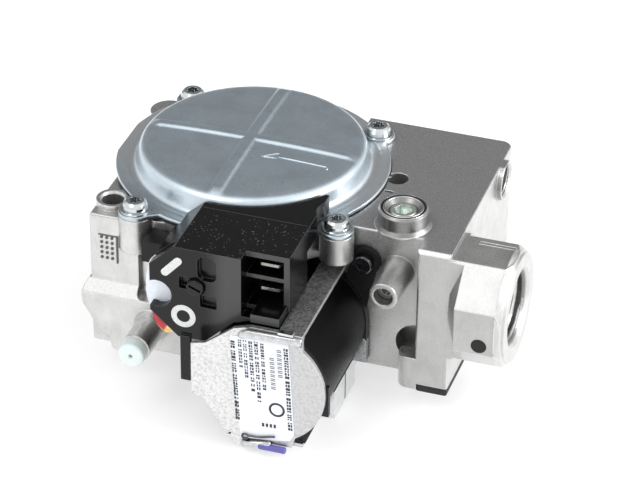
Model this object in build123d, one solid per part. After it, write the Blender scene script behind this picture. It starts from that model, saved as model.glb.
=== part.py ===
"""Combination gas valve: a die-cast body with a pressed diaphragm cover, a solenoid shut-off and an
on/off switch cover. +X points into the inlet port, +Z up. The origin lies on the diaphragm axis, on
the flat underside."""

import os
from math import cos, pi, radians, sin

from build123d import *

# ---- driving dimensions (mm) -------------------------------------------------------------------
DECK = 48.5                 # height of the machined deck above the underside
FLOOR = 6.8                 # height of the casting's own bottom face
PAD_LOW = 2.1               # underside of the casting's machined pad
RIGHT = 62.3                # right wall of the casting
LEFT = -32.8                # left wall of the casting
REAR = 33.0                 # rear wall of the deck
FRONT = -21.0               # recessed front wall, behind the solenoid
COLUMN_FRONT = -26.7        # front of the inlet column
COLUMN_LEFT = 53.4
LUG_ROUND = 2.6             # rounded front corner of the lug beside the column
LEFT_FRONT = -35.6          # front of the left-hand block

HOUSING_R = 35.8            # diaphragm housing
CHAMBER_R = 29.0
MEMBRANE_T = 0.8
FLANGE_R = 36.4
FLANGE_LEFT = -35.7         # the flange is cut straight on this side
FLANGE_T = 1.2
DOME_R = 31.2
DOME_TOP_R = 30.2
DOME_H = 7.0
SHEET_T = 1.0

PORT_BORE_R = 9.3           # 1/2 inch pipe thread, crest radius
PORT_MOUTH_R = 10.9
INLET_Y = -19.9
INLET_Z = DECK - 16.2
INLET_END = 78.8
INLET_FLATS = 30.0
ROOT_LENGTH = 3.4           # cone where the inlet boss grows out of the wall
FEED_Y = -14.0              # passage from the inlet to the shut-off seat
FEED_Z = DECK - 21.5
FEED_R = 5.0
SCREEN_X = RIGHT + 0.6      # inner face of the screen in that passage
SCREEN_T = 0.6
OUTLET_Y = -8.0
OUTLET_Z = DECK - 24.0
OUTLET_END = -34.0
SIDE_Y = 21.3
SIDE_Z = DECK - 5.0
TAP_R = 4.3                 # 1/8 inch pipe thread, crest radius

COIL_X = 22.7               # solenoid axis runs along Y
COIL_Z = DECK - 28.0
COIL_FRONT = -57.2
COIL_BACK = -22.0
COIL_R = 16.3
TUBE_R = 5.6
TUBE_BORE_R = 5.0
PLUNGER_R = 4.94
PLUNGER_TRAVEL = 2.5

SEAT_Z = DECK - 20.0        # main valve seat
SEAT_R = 9.0
MAIN_LIFT = 2.5
STEM_R = 2.5
SPRING_TOP = DECK + 6.7

REG_X = 46.2                # pressure regulator, vertical axis
REG_Y = -15.6
REG_BORE_R = 3.7

BOLT_X = 38.0               # bolt that holds the coil to the body
BOLT_Z = DECK - 9.4
TAP_X = 46.7                # pressure tap tower, axis along Y
TAP_Z = DECK - 11.0
VENT_X = -14.9              # vent tower, axis along Y
VENT_Z = DECK - 30.5
VENT_END = -50.0

KNOB_X = 3.6                # switch knob, axis along Y
KNOB_Z = DECK - 4.6
KNOB_R = 2.3
KNOB_FRONT = -55.2
COVER_TOP = DECK + 6.0      # flat top of the switch cover
COVER_RIGHT = 27.0
FACE_FRONT = -54.0          # switch face
WINDOW_FRONT = -49.7        # terminal window face
BLADE_X = 18.4              # quarter-inch blade terminals
BLADE_W = 6.35
BLADE_T = 0.8

SCREW_SPOTS = [(-20.5, -33.5), (31.3, -25.0), (27.3, 23.1), (-26.1, 24.4)]
MOUNT_HOLE = (-28.5, -28.9)
MOUNT_HOLE_R = 2.9
HEAD_R = 3.3
SCREW_R = 1.9
CLEAR = 0.05                # radial clearance of a running fit
GAP = 0.3                   # air between parts that only pass each other

BOTTOM_X = (-18.5, 33.3)
BOTTOM_Y = (-21.0, 26.0)
BOTTOM_INSET = 5.0
BOTTOM_SCREWS = [(BOTTOM_X[0] + BOTTOM_INSET, BOTTOM_Y[0] + BOTTOM_INSET),
                 (BOTTOM_X[1] - BOTTOM_INSET, BOTTOM_Y[0] + BOTTOM_INSET),
                 (BOTTOM_X[1] - BOTTOM_INSET, BOTTOM_Y[1] - BOTTOM_INSET),
                 (BOTTOM_X[0] + BOTTOM_INSET, BOTTOM_Y[1] - BOTTOM_INSET)]
PLATE_TOP = 1.5
FOOT_X = 54.0
FOOT_BACK = -6.0
FOOT_TOP = DECK - 41.2

REG_SCREW_TOP = DECK + 4.3
REG_SCREW_LOW = DECK - 1.4
REG_SEAT_TOP = REG_SCREW_LOW - CLEAR
REG_POPPET_TOP = DECK - 7.4

PLATE_BACK = COIL_FRONT
PLATE_T = 1.2
PLATE_FRONT = PLATE_BACK - PLATE_T
ARM_TOP = DECK - 10.6
ARM_LOW = DECK - 45.4
ARM_T = 1.0
ARM_X = (26.8, 33.3)

SWITCH_LOW = DECK - 11.0
FACE_LOW = DECK - 20.8
WALL = 1.5
POCKET_DEPTH = 1.7
# left, right, low and high edge and corner radius of each pocket, heights from the deck
SWITCH_POCKETS = [(4.0, 9.1, -2.6, 4.6, 1.9), (4.6, 9.1, -10.6, -6.9, 0.5), (-1.0, 1.3, -6.0, -2.4, 0.4)]


# ---- shape helpers -----------------------------------------------------------------------------
def block(x0, x1, y0, y1, z0, z1):
    return Pos((x0 + x1) / 2, (y0 + y1) / 2, (z0 + z1) / 2) * Box(x1 - x0, y1 - y0, z1 - z0)


def soft_block(x0, x1, y0, y1, z0, z1, radius):
    solid = block(x0, x1, y0, y1, z0, z1)
    return fillet(solid.edges(), radius)


def rod_z(x, y, r, z0, z1):
    return Pos(x, y, (z0 + z1) / 2) * Cylinder(r, z1 - z0)


def rod_y(x, z, r, y0, y1):
    return Pos(x, (y0 + y1) / 2, z) * Rot(90, 0, 0) * Cylinder(r, y1 - y0)


def rod_x(y, z, r, x0, x1):
    return Pos((x0 + x1) / 2, y, z) * Rot(0, 90, 0) * Cylinder(r, x1 - x0)


def cone_z(x, y, r_low, r_high, z0, z1):
    return Pos(x, y, (z0 + z1) / 2) * Cone(r_low, r_high, z1 - z0)


def cone_y(x, z, r_front, r_back, y0, y1):
    return Pos(x, (y0 + y1) / 2, z) * Rot(-90, 0, 0) * Cone(r_front, r_back, y1 - y0)


def cone_x(y, z, r_left, r_right, x0, x1):
    return Pos((x0 + x1) / 2, y, z) * Rot(0, 90, 0) * Cone(r_left, r_right, x1 - x0)


def plate_y(points, y_back, y_front):
    """Outline in (x, z), from y_back forward to y_front."""
    face = Plane.XZ.offset(-y_back) * make_face(Polyline(*points, close=True))
    return extrude(face, y_back - y_front)


def plate_x(points, x0, x1):
    """Outline in (y, z)."""
    face = Plane.YZ.offset(x0) * make_face(Polyline(*points, close=True))
    return extrude(face, x1 - x0)


def ring_points(cx, cz, r, start, stop, count):
    """Points along an arc, angles in degrees."""
    step = (stop - start) / (count - 1)
    angles = [radians(start + step * i) for i in range(count)]
    return [(cx + r * cos(a), cz + r * sin(a)) for a in angles]


def turned(profile, x, y):
    """Solid of revolution about a vertical axis, outline in (radius, z)."""
    face = Plane.XZ * make_face(Polyline(*profile, close=True))
    return Pos(x, y, 0) * revolve(face, Axis.Z)


def coil_spring(r, wire, z0, z1, turns):
    """Round-wire compression spring that stands inside z0 to z1."""
    rise = z1 - z0 - wire
    path = Helix(pitch=rise / turns, height=rise, radius=r)
    section = Plane(origin=path @ 0, z_dir=path % 0) * Circle(wire / 2)
    return Pos(0, 0, z0 + wire / 2) * sweep(section, path=path, is_frenet=True)


def torx_recess(r, depth):
    """Six-lobed socket, sunk from z = 0 downwards."""
    socket = Pos(0, 0, -depth / 2) * Cylinder(r * 0.72, depth)
    for i in range(6):
        socket += Rot(0, 0, 60 * i) * Pos(r * 0.72, 0, -depth / 2) * Cylinder(r * 0.28, depth)
    return socket


def pan_screw(length):
    """Pan-head screw with a washer face, seated on z = 0."""
    head = turned([(0, 0), (HEAD_R + 0.7, 0), (HEAD_R + 0.7, 0.5), (HEAD_R, 0.6), (HEAD_R, 1.7),
                   (HEAD_R - 0.3, 2.4), (HEAD_R - 0.9, 2.9), (0, 3.0)], 0, 0)
    shank = Pos(0, 0, -length / 2) * Cylinder(SCREW_R, length)
    return head + shank - Pos(0, 0, 3.0) * torx_recess(1.7, 1.5)


# ---- valve body --------------------------------------------------------------------------------
def octagon_boss():
    half = INLET_FLATS / 2
    corner_r = half / cos(pi / 8)
    corners = [(INLET_Y + corner_r * cos(pi / 8 + i * pi / 4),
                INLET_Z + corner_r * sin(pi / 8 + i * pi / 4)) for i in range(8)]
    barrel = plate_x(corners, RIGHT + ROOT_LENGTH, INLET_END - 0.8)
    # behind the column's front face the octagon runs back into the wall; in front it starts as a cone
    barrel += plate_x(corners, RIGHT - 6, RIGHT + ROOT_LENGTH) & block(
        RIGHT - 7, RIGHT + ROOT_LENGTH, COLUMN_FRONT, 0, FLOOR, DECK)
    barrel += cone_x(INLET_Y, INLET_Z, half * 0.55, half, RIGHT, RIGHT + ROOT_LENGTH)
    nose = cone_x(INLET_Y, INLET_Z, half + 0.9, half - 0.7, INLET_END - 2.4, INLET_END)
    trim = cone_x(INLET_Y, INLET_Z, half + 3.0, half - 0.7, INLET_END - 4.5, INLET_END)
    return (barrel + nose) & (trim + rod_x(INLET_Y, INLET_Z, half + 3, RIGHT - 6, INLET_END - 4.5))


def body_outside():
    main = block(22, RIGHT, FRONT, REAR, FLOOR, DECK)
    main = fillet(main.edges().filter_by(Axis.Z).sort_by(Axis.X)[-2:], 3.0)
    main = fillet(main.edges().group_by(Axis.Z)[-1], 0.5)
    column = block(COLUMN_LEFT, RIGHT, COLUMN_FRONT, FRONT + 8, FLOOR, DECK)
    column = chamfer(column.edges().filter_by(Axis.X).group_by(Axis.Z)[-1].sort_by(Axis.Y)[0], 0.9)
    column = fillet(column.edges().filter_by(Axis.Z).sort_by(Axis.Y)[:2], 0.7)
    lug = block(48.5, COLUMN_LEFT + 2, COLUMN_FRONT, FRONT + 8, FLOOR - 1.6, DECK - 33.4)
    lug = fillet(lug.edges().filter_by(Axis.Z).sort_by(Axis.X)[:2].sort_by(Axis.Y)[:1], LUG_ROUND)
    lug = fillet(lug.faces().sort_by(Axis.Z)[0].edges(), 0.8)
    housing = rod_z(0, 0, HOUSING_R, DECK - 9, DECK - MEMBRANE_T)
    middle = block(LEFT + 3, 30, FRONT, 28, FLOOR, DECK - 10)
    left = soft_block(LEFT, -6, LEFT_FRONT, 13, FLOOR + 1, DECK - 1.2, 0.9)
    left -= soft_block(-19.2, 0, LEFT_FRONT - 6, -33.6, DECK - 23.5, DECK + 4, 1.6)
    lower_side = plate_y([(LEFT, DECK - 20.4), (LEFT - 1.2, DECK - 22.6), (LEFT - 1.6, DECK - 25.0),
                          (LEFT - 1.2, DECK - 27.4), (-29.6, DECK - 34.8), (-26.8, DECK - 36.4),
                          (-26.2, DECK - 39.6), (-25.0, FLOOR), (-19.5, FLOOR + 1.6),
                          (-13.0, DECK - 36.0), (-10.5, DECK - 32.0), (-10.5, DECK - 20.4)],
                         12, -38.6)
    lower_side -= soft_block(-19.2, 0, LEFT_FRONT - 6, -33.6, DECK - 23.5, DECK + 4, 1.6)
    lower_front = plate_x([(LEFT_FRONT, DECK - 20.8), (-38.5, DECK - 23.7), (-38.5, FLOOR + 1.5),
                           (-37.0, FLOOR), (12, FLOOR), (12, DECK - 20.8)], LEFT - 3, -6)
    neck = rod_y(VENT_X, VENT_Z, 3.9, VENT_END, LEFT_FRONT)
    neck = fillet(neck.edges().group_by(Axis.Y)[0], 0.6)
    root = cone_y(VENT_X, VENT_Z, 3.9, 4.8, -40.4, -38.4)
    tap = cone_y(TAP_X, TAP_Z, 3.75, 4.5, -34.0, FRONT + 1)
    tap = fillet(tap.edges().group_by(Axis.Y)[0], 0.4)
    regulator = rod_z(REG_X, REG_Y, 6.6, DECK - 1, DECK + 5)
    regulator = chamfer(regulator.edges().group_by(Axis.Z)[-1], 0.5)
    collar = cone_z(REG_X, REG_Y, 7.5, 6.6, DECK - 0.2, DECK + 1.0)
    pad = bottom_sheet(PAD_LOW, FLOOR + 1)
    solid = main + column + lug + housing + middle + left + pad + (lower_side & lower_front)
    solid += neck + root + tap + regulator + collar + octagon_boss()
    solid += rod_z(*MOUNT_HOLE, 4.4, DECK - 24, DECK + 0.4)
    solid += rod_z(-31.3, 20.0, 5.2, DECK - 24, DECK - MEMBRANE_T)
    ear_lows = [DECK - 10, DECK - 7.6, DECK - 12, DECK - 12]
    for (x, y), low in zip(SCREW_SPOTS, ear_lows):
        solid += rod_z(x, y, 4.5, low, DECK)
    ring = rod_x(SIDE_Y, SIDE_Z, 5.4, RIGHT - 1, RIGHT + 1.4) & block(
        RIGHT - 2, RIGHT + 2, 0, REAR, FLOOR, DECK)
    inlet_root = rod_x(INLET_Y, INLET_Z, 16.6, RIGHT - 4, RIGHT + 1.2)
    inlet_root &= block(RIGHT - 5, RIGHT + 2, COLUMN_FRONT, 0, FLOOR, DECK - 1.5)
    port = rod_x(OUTLET_Y, OUTLET_Z, 13.0, OUTLET_END, LEFT + 4)
    port = chamfer(port.edges().group_by(Axis.X)[0], 0.6)
    return solid + ring + inlet_root + port


def body_passages():
    chamber = rod_z(0, 0, CHAMBER_R, DECK - 7, DECK + 1)
    upper = rod_z(0, 0, 14.0, SEAT_Z, DECK - 6)
    seat_pocket = rod_z(0, 0, 11.0, SEAT_Z - 3, SEAT_Z + 1)
    lower = rod_z(0, 0, 9.8, PAD_LOW - 1, SEAT_Z - 3)
    inlet = rod_x(INLET_Y, INLET_Z, PORT_BORE_R, RIGHT + 1.5, INLET_END + 1)
    inlet += cone_x(INLET_Y, INLET_Z, PORT_BORE_R, PORT_MOUTH_R, INLET_END - 1.6, INLET_END)
    feed = rod_x(FEED_Y, FEED_Z, FEED_R, COIL_X - 2, RIGHT + 2)
    shutoff = rod_y(COIL_X, COIL_Z, 8.0, FRONT - 1, -3.0)
    throat = rod_y(COIL_X, COIL_Z, 5.2, -4.0, 9.0)
    riser = rod_z(16.2, 4.0, 4.2, COIL_Z, DECK - 9)
    riser += rod_x(4.0, COIL_Z, 4.2, 16.2, COIL_X)
    outlet = rod_x(OUTLET_Y, OUTLET_Z, PORT_BORE_R, OUTLET_END - 1, -19.0)
    outlet += cone_x(OUTLET_Y, OUTLET_Z, PORT_MOUTH_R, PORT_BORE_R, OUTLET_END, OUTLET_END + 1.6)
    outlet += rod_x(-4.0, DECK - 30.0, 5.2, -20, 0)
    regulator = rod_z(REG_X, REG_Y, REG_BORE_R, DECK - 9, DECK + 6)
    regulator += cone_z(REG_X, REG_Y, REG_BORE_R, REG_BORE_R + 1.0, DECK + 4.0, DECK + 5.0)
    sense = rod_y(TAP_X, TAP_Z, 2.6, -34.5, -24.0)
    sense += rod_y(TAP_X, TAP_Z, 0.9, -25.0, -17.0)
    vent = rod_y(VENT_X, VENT_Z, 2.6, VENT_END - 1, -30.0)
    side = rod_x(SIDE_Y, SIDE_Z, TAP_R, RIGHT - 10, RIGHT + 2)
    side += cone_x(SIDE_Y, SIDE_Z, TAP_R, TAP_R + 0.6, RIGHT + 0.8, RIGHT + 1.4)
    holes = chamber + upper + seat_pocket + lower + inlet + feed + shutoff + throat + riser
    holes += outlet + regulator + sense + vent + side
    holes += rod_z(*MOUNT_HOLE, MOUNT_HOLE_R, DECK - 20, DECK + 1)
    holes += cone_z(*MOUNT_HOLE, MOUNT_HOLE_R, MOUNT_HOLE_R + 0.5, DECK - 0.2, DECK + 0.4)
    for x, y in SCREW_SPOTS:
        holes += rod_z(x, y, SCREW_R, DECK - 9.5, DECK + 1)
    holes += rod_z(38.4, 5.0, 2.9, DECK - 6, DECK + 1)
    holes += block(36.9, 39.3, -2.3, -1.5, DECK - 0.7, DECK + 1)
    holes += rod_y(52.2, DECK - 32.6, 5.6, FRONT - 1, FRONT + 6) - block(
        COLUMN_LEFT, 60, FRONT - 2, FRONT + 7, FLOOR, DECK)
    return holes


def valve_body():
    solid = body_outside() - body_passages()
    # seat for the diaphragm, the switch cover's recess and the fixings under the solenoid
    solid -= rod_z(0, 0, HOUSING_R + 0.8, DECK - MEMBRANE_T, DECK + 0.5)
    solid -= rod_y(BOLT_X, BOLT_Z, 1.6, FRONT - 1, -11.0)
    solid -= block(FOOT_X, RIGHT + 1, COLUMN_FRONT - 1, FOOT_BACK, FLOOR - 2, FOOT_TOP)
    for x, y in BOTTOM_SCREWS:
        solid -= rod_z(x, y, 1.6, PAD_LOW - 1, PAD_LOW + 9)
    return solid


# ---- diaphragm cover and what it closes ---------------------------------------------------------
def flange_outline(grow, z0, z1):
    solid = rod_z(0, 0, FLANGE_R + grow, z0, z1)
    for x, y in SCREW_SPOTS:
        reach = (x * x + y * y) ** 0.5
        ux, uy = x / reach, y / reach
        root_x, root_y = ux * 29.0, uy * 29.0
        half = 9.0
        wedge = Polyline((root_x - uy * half, root_y + ux * half), (x - uy * 4.4, y + ux * 4.4),
                         (x + uy * 4.4, y - ux * 4.4), (root_x + uy * half, root_y - ux * half),
                         close=True)
        solid += extrude(Plane.XY.offset(z0) * make_face(wedge), z1 - z0)
        solid += rod_z(x, y, 4.5 + grow, z0, z1)
    return solid - block(-60, FLANGE_LEFT - grow, -30, 60, z0 - 1, z1 + 1)


def diaphragm_cover():
    top = DECK + FLANGE_T
    outer = turned([(0, DECK), (DOME_R + 0.6, DECK), (DOME_R, top + 0.5), (DOME_TOP_R + 0.3, DECK + 4.6),
                    (DOME_TOP_R, DECK + 5.6), (DOME_TOP_R - 0.7, DECK + 6.6),
                    (DOME_TOP_R - 2.0, DECK + 7.1), (20, DECK + 7.6), (0, DECK + 7.9)], 0, 0)
    inner = turned([(0, DECK - 1), (DOME_R - 0.8, DECK - 1), (DOME_TOP_R - 0.9, DECK + 5.0),
                    (DOME_TOP_R - 2.3, DECK + 6.1), (20, DECK + 6.6), (0, DECK + 6.9)], 0, 0)
    cover = outer + flange_outline(0, DECK, top)
    for length, width, turn in [(53.0, 2.4, 0), (56.0, 3.0, 90)]:
        bead = Pos(0, 0, DECK + 8.3) * Rot(0, 0, turn) * Rot(0, 90, 0) * Cylinder(width / 2, length)
        cover += bead & rod_z(0, 0, 28.2, DECK + 7, DECK + 8.9)
    cover -= inner
    for x, y in SCREW_SPOTS:
        cover -= rod_z(x, y, SCREW_R + 0.3, DECK - 1, DECK + 3)
    return cover


def cover_screws():
    return [Pos(x, y, DECK + FLANGE_T) * pan_screw(7.5) for x, y in SCREW_SPOTS]


def main_diaphragm():
    sheet = rod_z(0, 0, HOUSING_R + 0.4, DECK - MEMBRANE_T, DECK)
    for x, y in SCREW_SPOTS:
        sheet -= rod_z(x, y, SCREW_R + 0.4, DECK - 2, DECK + 1)
    return sheet - rod_z(0, 0, STEM_R, DECK - 2, DECK + 1)


def diaphragm_plate():
    disc = rod_z(0, 0, 21.0, DECK, DECK + 0.8)
    return disc - rod_z(0, 0, STEM_R, DECK - 1, DECK + 2)


def lower_clamp_plate():
    disc = rod_z(0, 0, 18.0, DECK - MEMBRANE_T - 1.0, DECK - MEMBRANE_T)
    return disc - rod_z(0, 0, STEM_R, DECK - 4, DECK + 1)


def main_valve_stem():
    shaft = rod_z(0, 0, STEM_R, SEAT_Z + 0.8, DECK + 0.8)
    rivet = rod_z(0, 0, 4.0, DECK + 0.8, DECK + 1.6)
    collar = rod_z(0, 0, 4.2, SEAT_Z + 3.2, DECK - MEMBRANE_T - 1.0)
    return shaft + rivet + collar


def main_valve_disc():
    disc = rod_z(0, 0, 11.0, SEAT_Z + 1.6, SEAT_Z + 3.2)
    disc += rod_z(0, 0, 10.6, SEAT_Z, SEAT_Z + 1.6)
    return disc - rod_z(0, 0, STEM_R, SEAT_Z + 0.8, SEAT_Z + 4)


def main_valve_seat():
    ring = rod_z(0, 0, 11.0, SEAT_Z - 3, SEAT_Z)
    return ring - rod_z(0, 0, SEAT_R - 1.5, SEAT_Z - 4, SEAT_Z + 1)


def main_valve_spring():
    return coil_spring(8.0, 0.9, DECK + 0.8, SPRING_TOP, 3)


# ---- underside ---------------------------------------------------------------------------------
def bottom_sheet(z0, z1):
    sheet = block(*BOTTOM_X, *BOTTOM_Y, z0, z1)
    return fillet(sheet.edges().filter_by(Axis.Z), 1.5)


def bottom_gasket():
    sheet = bottom_sheet(PLATE_TOP, PAD_LOW) - rod_z(0, 0, 9.8, 0, PAD_LOW + 1)
    for x, y in BOTTOM_SCREWS:
        sheet -= rod_z(x, y, 1.9, 0, PAD_LOW + 1)
    return sheet


def bottom_cover():
    cover = bottom_sheet(0, PLATE_TOP)
    for x, y in BOTTOM_SCREWS:
        cover -= rod_z(x, y, 1.9, -1, PLATE_TOP + 1)
        cover -= cone_z(x, y, 3.1, 1.9, 0, 1.2)
    return cover


def bottom_cover_screws():
    solids = []
    for x, y in BOTTOM_SCREWS:
        head = cone_z(x, y, 3.0, 1.8, 0.05, 1.2)
        screw = head + rod_z(x, y, 1.6, 1.1, PAD_LOW + 8)
        solids.append(screw - Pos(x, y, 0.05) * Rot(180, 0, 0) * torx_recess(1.3, 0.8))
    return solids


def base_pad():
    pad = block(FOOT_X, RIGHT - 0.1, COLUMN_FRONT + 0.1, FOOT_BACK, FOOT_TOP - 2.1, FOOT_TOP)
    return fillet(pad.edges().filter_by(Axis.Z), 0.6)


def inlet_screen():
    disc = rod_x(FEED_Y, FEED_Z, FEED_R, SCREEN_X, SCREEN_X + SCREEN_T)
    pitch = 2.0
    for i in range(-2, 3):
        for j in range(-2, 3):
            if i * i + j * j < 5:
                disc -= rod_x(FEED_Y + pitch * i, FEED_Z + pitch * j, 0.7, SCREEN_X - 1, SCREEN_X + 2)
    return disc


# ---- regulator, taps and vent -------------------------------------------------------------------
def regulator_adjusting_screw():
    screw = rod_z(REG_X, REG_Y, REG_BORE_R - CLEAR, REG_SCREW_LOW, REG_SCREW_TOP)
    screw = chamfer(screw.edges().group_by(Axis.Z)[-1], 0.4)
    hexagon = RegularPolygon(2.1, 6, major_radius=False)
    socket = extrude(Plane.XY.offset(REG_SCREW_TOP - 2.6) * Pos(REG_X, REG_Y) * hexagon, 3)
    return screw - socket


def regulator_spring_seat():
    seat = rod_z(REG_X, REG_Y, REG_BORE_R - CLEAR, REG_SEAT_TOP - 1.0, REG_SEAT_TOP)
    return seat + rod_z(REG_X, REG_Y, 1.6, REG_SEAT_TOP - 1.6, REG_SEAT_TOP - 1.0)


def regulator_spring():
    spring = coil_spring(2.6, 0.6, REG_POPPET_TOP, REG_SEAT_TOP - 1.0, 3)
    return Pos(REG_X, REG_Y, 0) * spring


def regulator_poppet():
    disc = rod_z(REG_X, REG_Y, REG_BORE_R, DECK - 9.0, REG_POPPET_TOP)
    return disc + rod_z(REG_X, REG_Y, 1.5, REG_POPPET_TOP, REG_POPPET_TOP + 0.6)


def pressure_tap_screw():
    screw = rod_y(TAP_X, TAP_Z, 2.6 - CLEAR, -31.0, -25.2)
    socket = rod_y(TAP_X, TAP_Z, 1.2, -31.5, -28.6)
    return screw - socket


def vent_plug():
    body = rod_y(VENT_X, VENT_Z, 3.5, VENT_END - 3.6, VENT_END)
    body = fillet(body.edges().group_by(Axis.Y)[0], 0.8)
    plug = body + rod_y(VENT_X, VENT_Z, 2.6, VENT_END, VENT_END + 5)
    return plug - rod_y(VENT_X, VENT_Z, 0.6, VENT_END - 5, VENT_END + 6)


# ---- solenoid ----------------------------------------------------------------------------------
def end_plate():
    arc = ring_points(COIL_X, COIL_Z, 16.7, 50, -58, 19)
    points = [(3.6, DECK - 19.0), (7.5, DECK - 18.0), (10.6, DECK - 15.6), (15.2, DECK - 11.9),
              (19.6, ARM_TOP), (ARM_X[1], ARM_TOP)] + arc
    points += [(30.6, ARM_LOW), (24.3, ARM_LOW), (17.2, 0.6), (15.8, 0.9), (11.9, 5.2), (6.8, 13.4),
               (3.6, 14.0)]
    return plate_y(points, PLATE_BACK, PLATE_FRONT)


def solenoid_frame():
    frame = end_plate()
    frame += block(*ARM_X, PLATE_BACK - 0.1, FRONT - 0.2, ARM_TOP - ARM_T, ARM_TOP)
    frame += block(24.3, ARM_X[1], PLATE_BACK - 0.1, FRONT - 0.2, ARM_LOW, ARM_LOW + ARM_T)
    frame += rod_x(PLATE_BACK - 0.2, ARM_TOP - 0.9, 0.9, 19.6, ARM_X[1])
    frame -= rod_y(COIL_X, COIL_Z, 3.05, PLATE_FRONT - 1, PLATE_BACK + 1)
    slot = block(12.4, 14.2, PLATE_FRONT - 1, PLATE_BACK + 1, DECK - 44.9, DECK - 44.2)
    return frame - slot


def frame_label():
    label = block(14.6, 31.2, PLATE_FRONT - 0.12, PLATE_FRONT, ARM_LOW + 1.6, ARM_TOP - 2.6)
    return fillet(label.edges().filter_by(Axis.Y), 0.5) - rod_y(
        COIL_X, COIL_Z, 3.05, PLATE_FRONT - 1, PLATE_BACK)


def solenoid_bracket():
    low = 0.1
    right = 35.6
    left = 11.6
    channel = block(left, right, -38.5, FRONT - 0.3, low, low + 1.2)
    channel += block(right - 1.2, right, -38.5, FRONT - 0.3, low, DECK - 40.1)
    channel += block(left, left + 1.2, -38.5, FRONT - 0.3, low, DECK - 40.1)
    return channel - rod_y(COIL_X, COIL_Z, COIL_R + 0.35, -60, FRONT)


def coil_bobbin():
    front = rod_y(COIL_X, COIL_Z, COIL_R + 0.2, COIL_FRONT, COIL_FRONT + 1.4)
    front += block(34, 40.0, COIL_FRONT, COIL_FRONT + 1.4, DECK - 34.4, DECK - 25.5)
    wedge = [(33.4, DECK - 38.0), (37.0, DECK - 36.5), (33.9, ARM_LOW + 1.4), (33.4, ARM_LOW + 1.4)]
    front += plate_y(wedge, COIL_FRONT + 1.4, COIL_FRONT)
    rear = rod_y(COIL_X, COIL_Z, COIL_R + 0.2, COIL_BACK - 1.4, COIL_BACK + 0.6)
    rear += block(34.2, 39.2, COIL_BACK - 1.4, COIL_BACK + 0.6, DECK - 39.9, COIL_Z)
    rear += rod_y(BOLT_X, BOLT_Z, 4.2, COIL_BACK - 0.2, COIL_BACK + 0.8)
    rear += plate_y([(33.0, DECK - 14.8), (34.6, DECK - 9.4), (41.6, DECK - 10.8),
                     (38.6, DECK - 24.0)], COIL_BACK + 0.8, COIL_BACK - 0.2)
    tube = rod_y(COIL_X, COIL_Z, 7.0, COIL_FRONT, COIL_BACK + 0.6)
    bobbin = front + rear + tube
    bobbin -= rod_y(COIL_X, COIL_Z, TUBE_R, COIL_FRONT - 1, COIL_BACK + 2)
    bobbin -= rod_y(BOLT_X, BOLT_Z, 1.6, COIL_BACK - 2, COIL_BACK + 2)
    bobbin -= rod_z(*SCREW_SPOTS[1], 4.9, DECK - 8.0, DECK)
    arm_room = block(ARM_X[0] - 0.1, ARM_X[1] + 0.1, -60, FRONT, ARM_TOP - ARM_T - 0.1, ARM_TOP + 4)
    low_room = block(24.2, ARM_X[1] + 0.1, -60, FRONT, 0, ARM_LOW + ARM_T + 0.1)
    fold_room = block(19.5, ARM_X[1] + 0.1, COIL_FRONT, COIL_FRONT + 0.8, ARM_TOP - 2, ARM_TOP)
    return bobbin - arm_room - low_room - fold_room


def coil_winding():
    wire = rod_y(COIL_X, COIL_Z, COIL_R - 0.8, COIL_FRONT + 1.4, COIL_BACK - 1.4)
    return wire - rod_y(COIL_X, COIL_Z, 7.0, -60, 0)


def coil_wrap():
    tape = rod_y(COIL_X, COIL_Z, COIL_R, COIL_FRONT + 1.4, COIL_BACK - 1.4)
    return tape - rod_y(COIL_X, COIL_Z, COIL_R - 0.8, -60, 0)


def plunger_tube():
    tube = rod_y(COIL_X, COIL_Z, TUBE_R, -52.0, COIL_BACK + 0.8)
    tube += rod_y(COIL_X, COIL_Z, 8.0, COIL_BACK + 0.8, COIL_BACK + 2.2)
    return tube - rod_y(COIL_X, COIL_Z, TUBE_BORE_R, -60, 0)


def pole_core():
    core = rod_y(COIL_X, COIL_Z, TUBE_BORE_R, -52.0, -43.0)
    core += rod_y(COIL_X, COIL_Z, TUBE_R, COIL_FRONT, -52.0)
    core += rod_y(COIL_X, COIL_Z, 3.0, PLATE_FRONT, COIL_FRONT)
    return core - rod_y(COIL_X, COIL_Z, 2.4, -43.0 - PLUNGER_TRAVEL - 0.1, -42.0)


def solenoid_plunger():
    plunger = rod_y(COIL_X, COIL_Z, PLUNGER_R, -43.0 + PLUNGER_TRAVEL + 0.3, -14.0)
    plunger -= rod_y(COIL_X, COIL_Z, 2.4, -45, -31.0)
    return plunger + rod_y(COIL_X, COIL_Z, 2.0, -14.0, -12.6)


def shutoff_disc():
    disc = rod_y(COIL_X, COIL_Z, 6.6, -13.4, -11.0)
    return disc - rod_y(COIL_X, COIL_Z, 2.0, -15, -12.6)


def shutoff_seat():
    ring = rod_y(COIL_X, COIL_Z, 8.0, -8.4, -3.0) + rod_y(COIL_X, COIL_Z, 5.6, -11.0, -8.4)
    return ring - rod_y(COIL_X, COIL_Z, 4.4, -12, 0)


def plunger_spring():
    spring = coil_spring(1.8, 0.5, 0, 12.0, 8)
    return Pos(COIL_X, -31.0, COIL_Z) * Rot(90, 0, 0) * spring


def tube_o_ring():
    return Pos(COIL_X, COIL_BACK + 3.0, COIL_Z) * Rot(90, 0, 0) * Torus(7.2, 0.8)


def coil_clip():
    clip = block(17.4, 22.6, PLATE_FRONT - 1.0, PLATE_FRONT - 0.12, ARM_LOW + 0.6, ARM_LOW + 1.4)
    clip += Pos(17.9, PLATE_FRONT - 0.56, ARM_LOW + 1.0) * Rot(90, 0, 0) * Cylinder(1.3, 0.88)
    return clip - Pos(17.9, PLATE_FRONT - 0.5, ARM_LOW + 1.0) * Rot(90, 0, 0) * Cylinder(0.6, 2)


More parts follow.
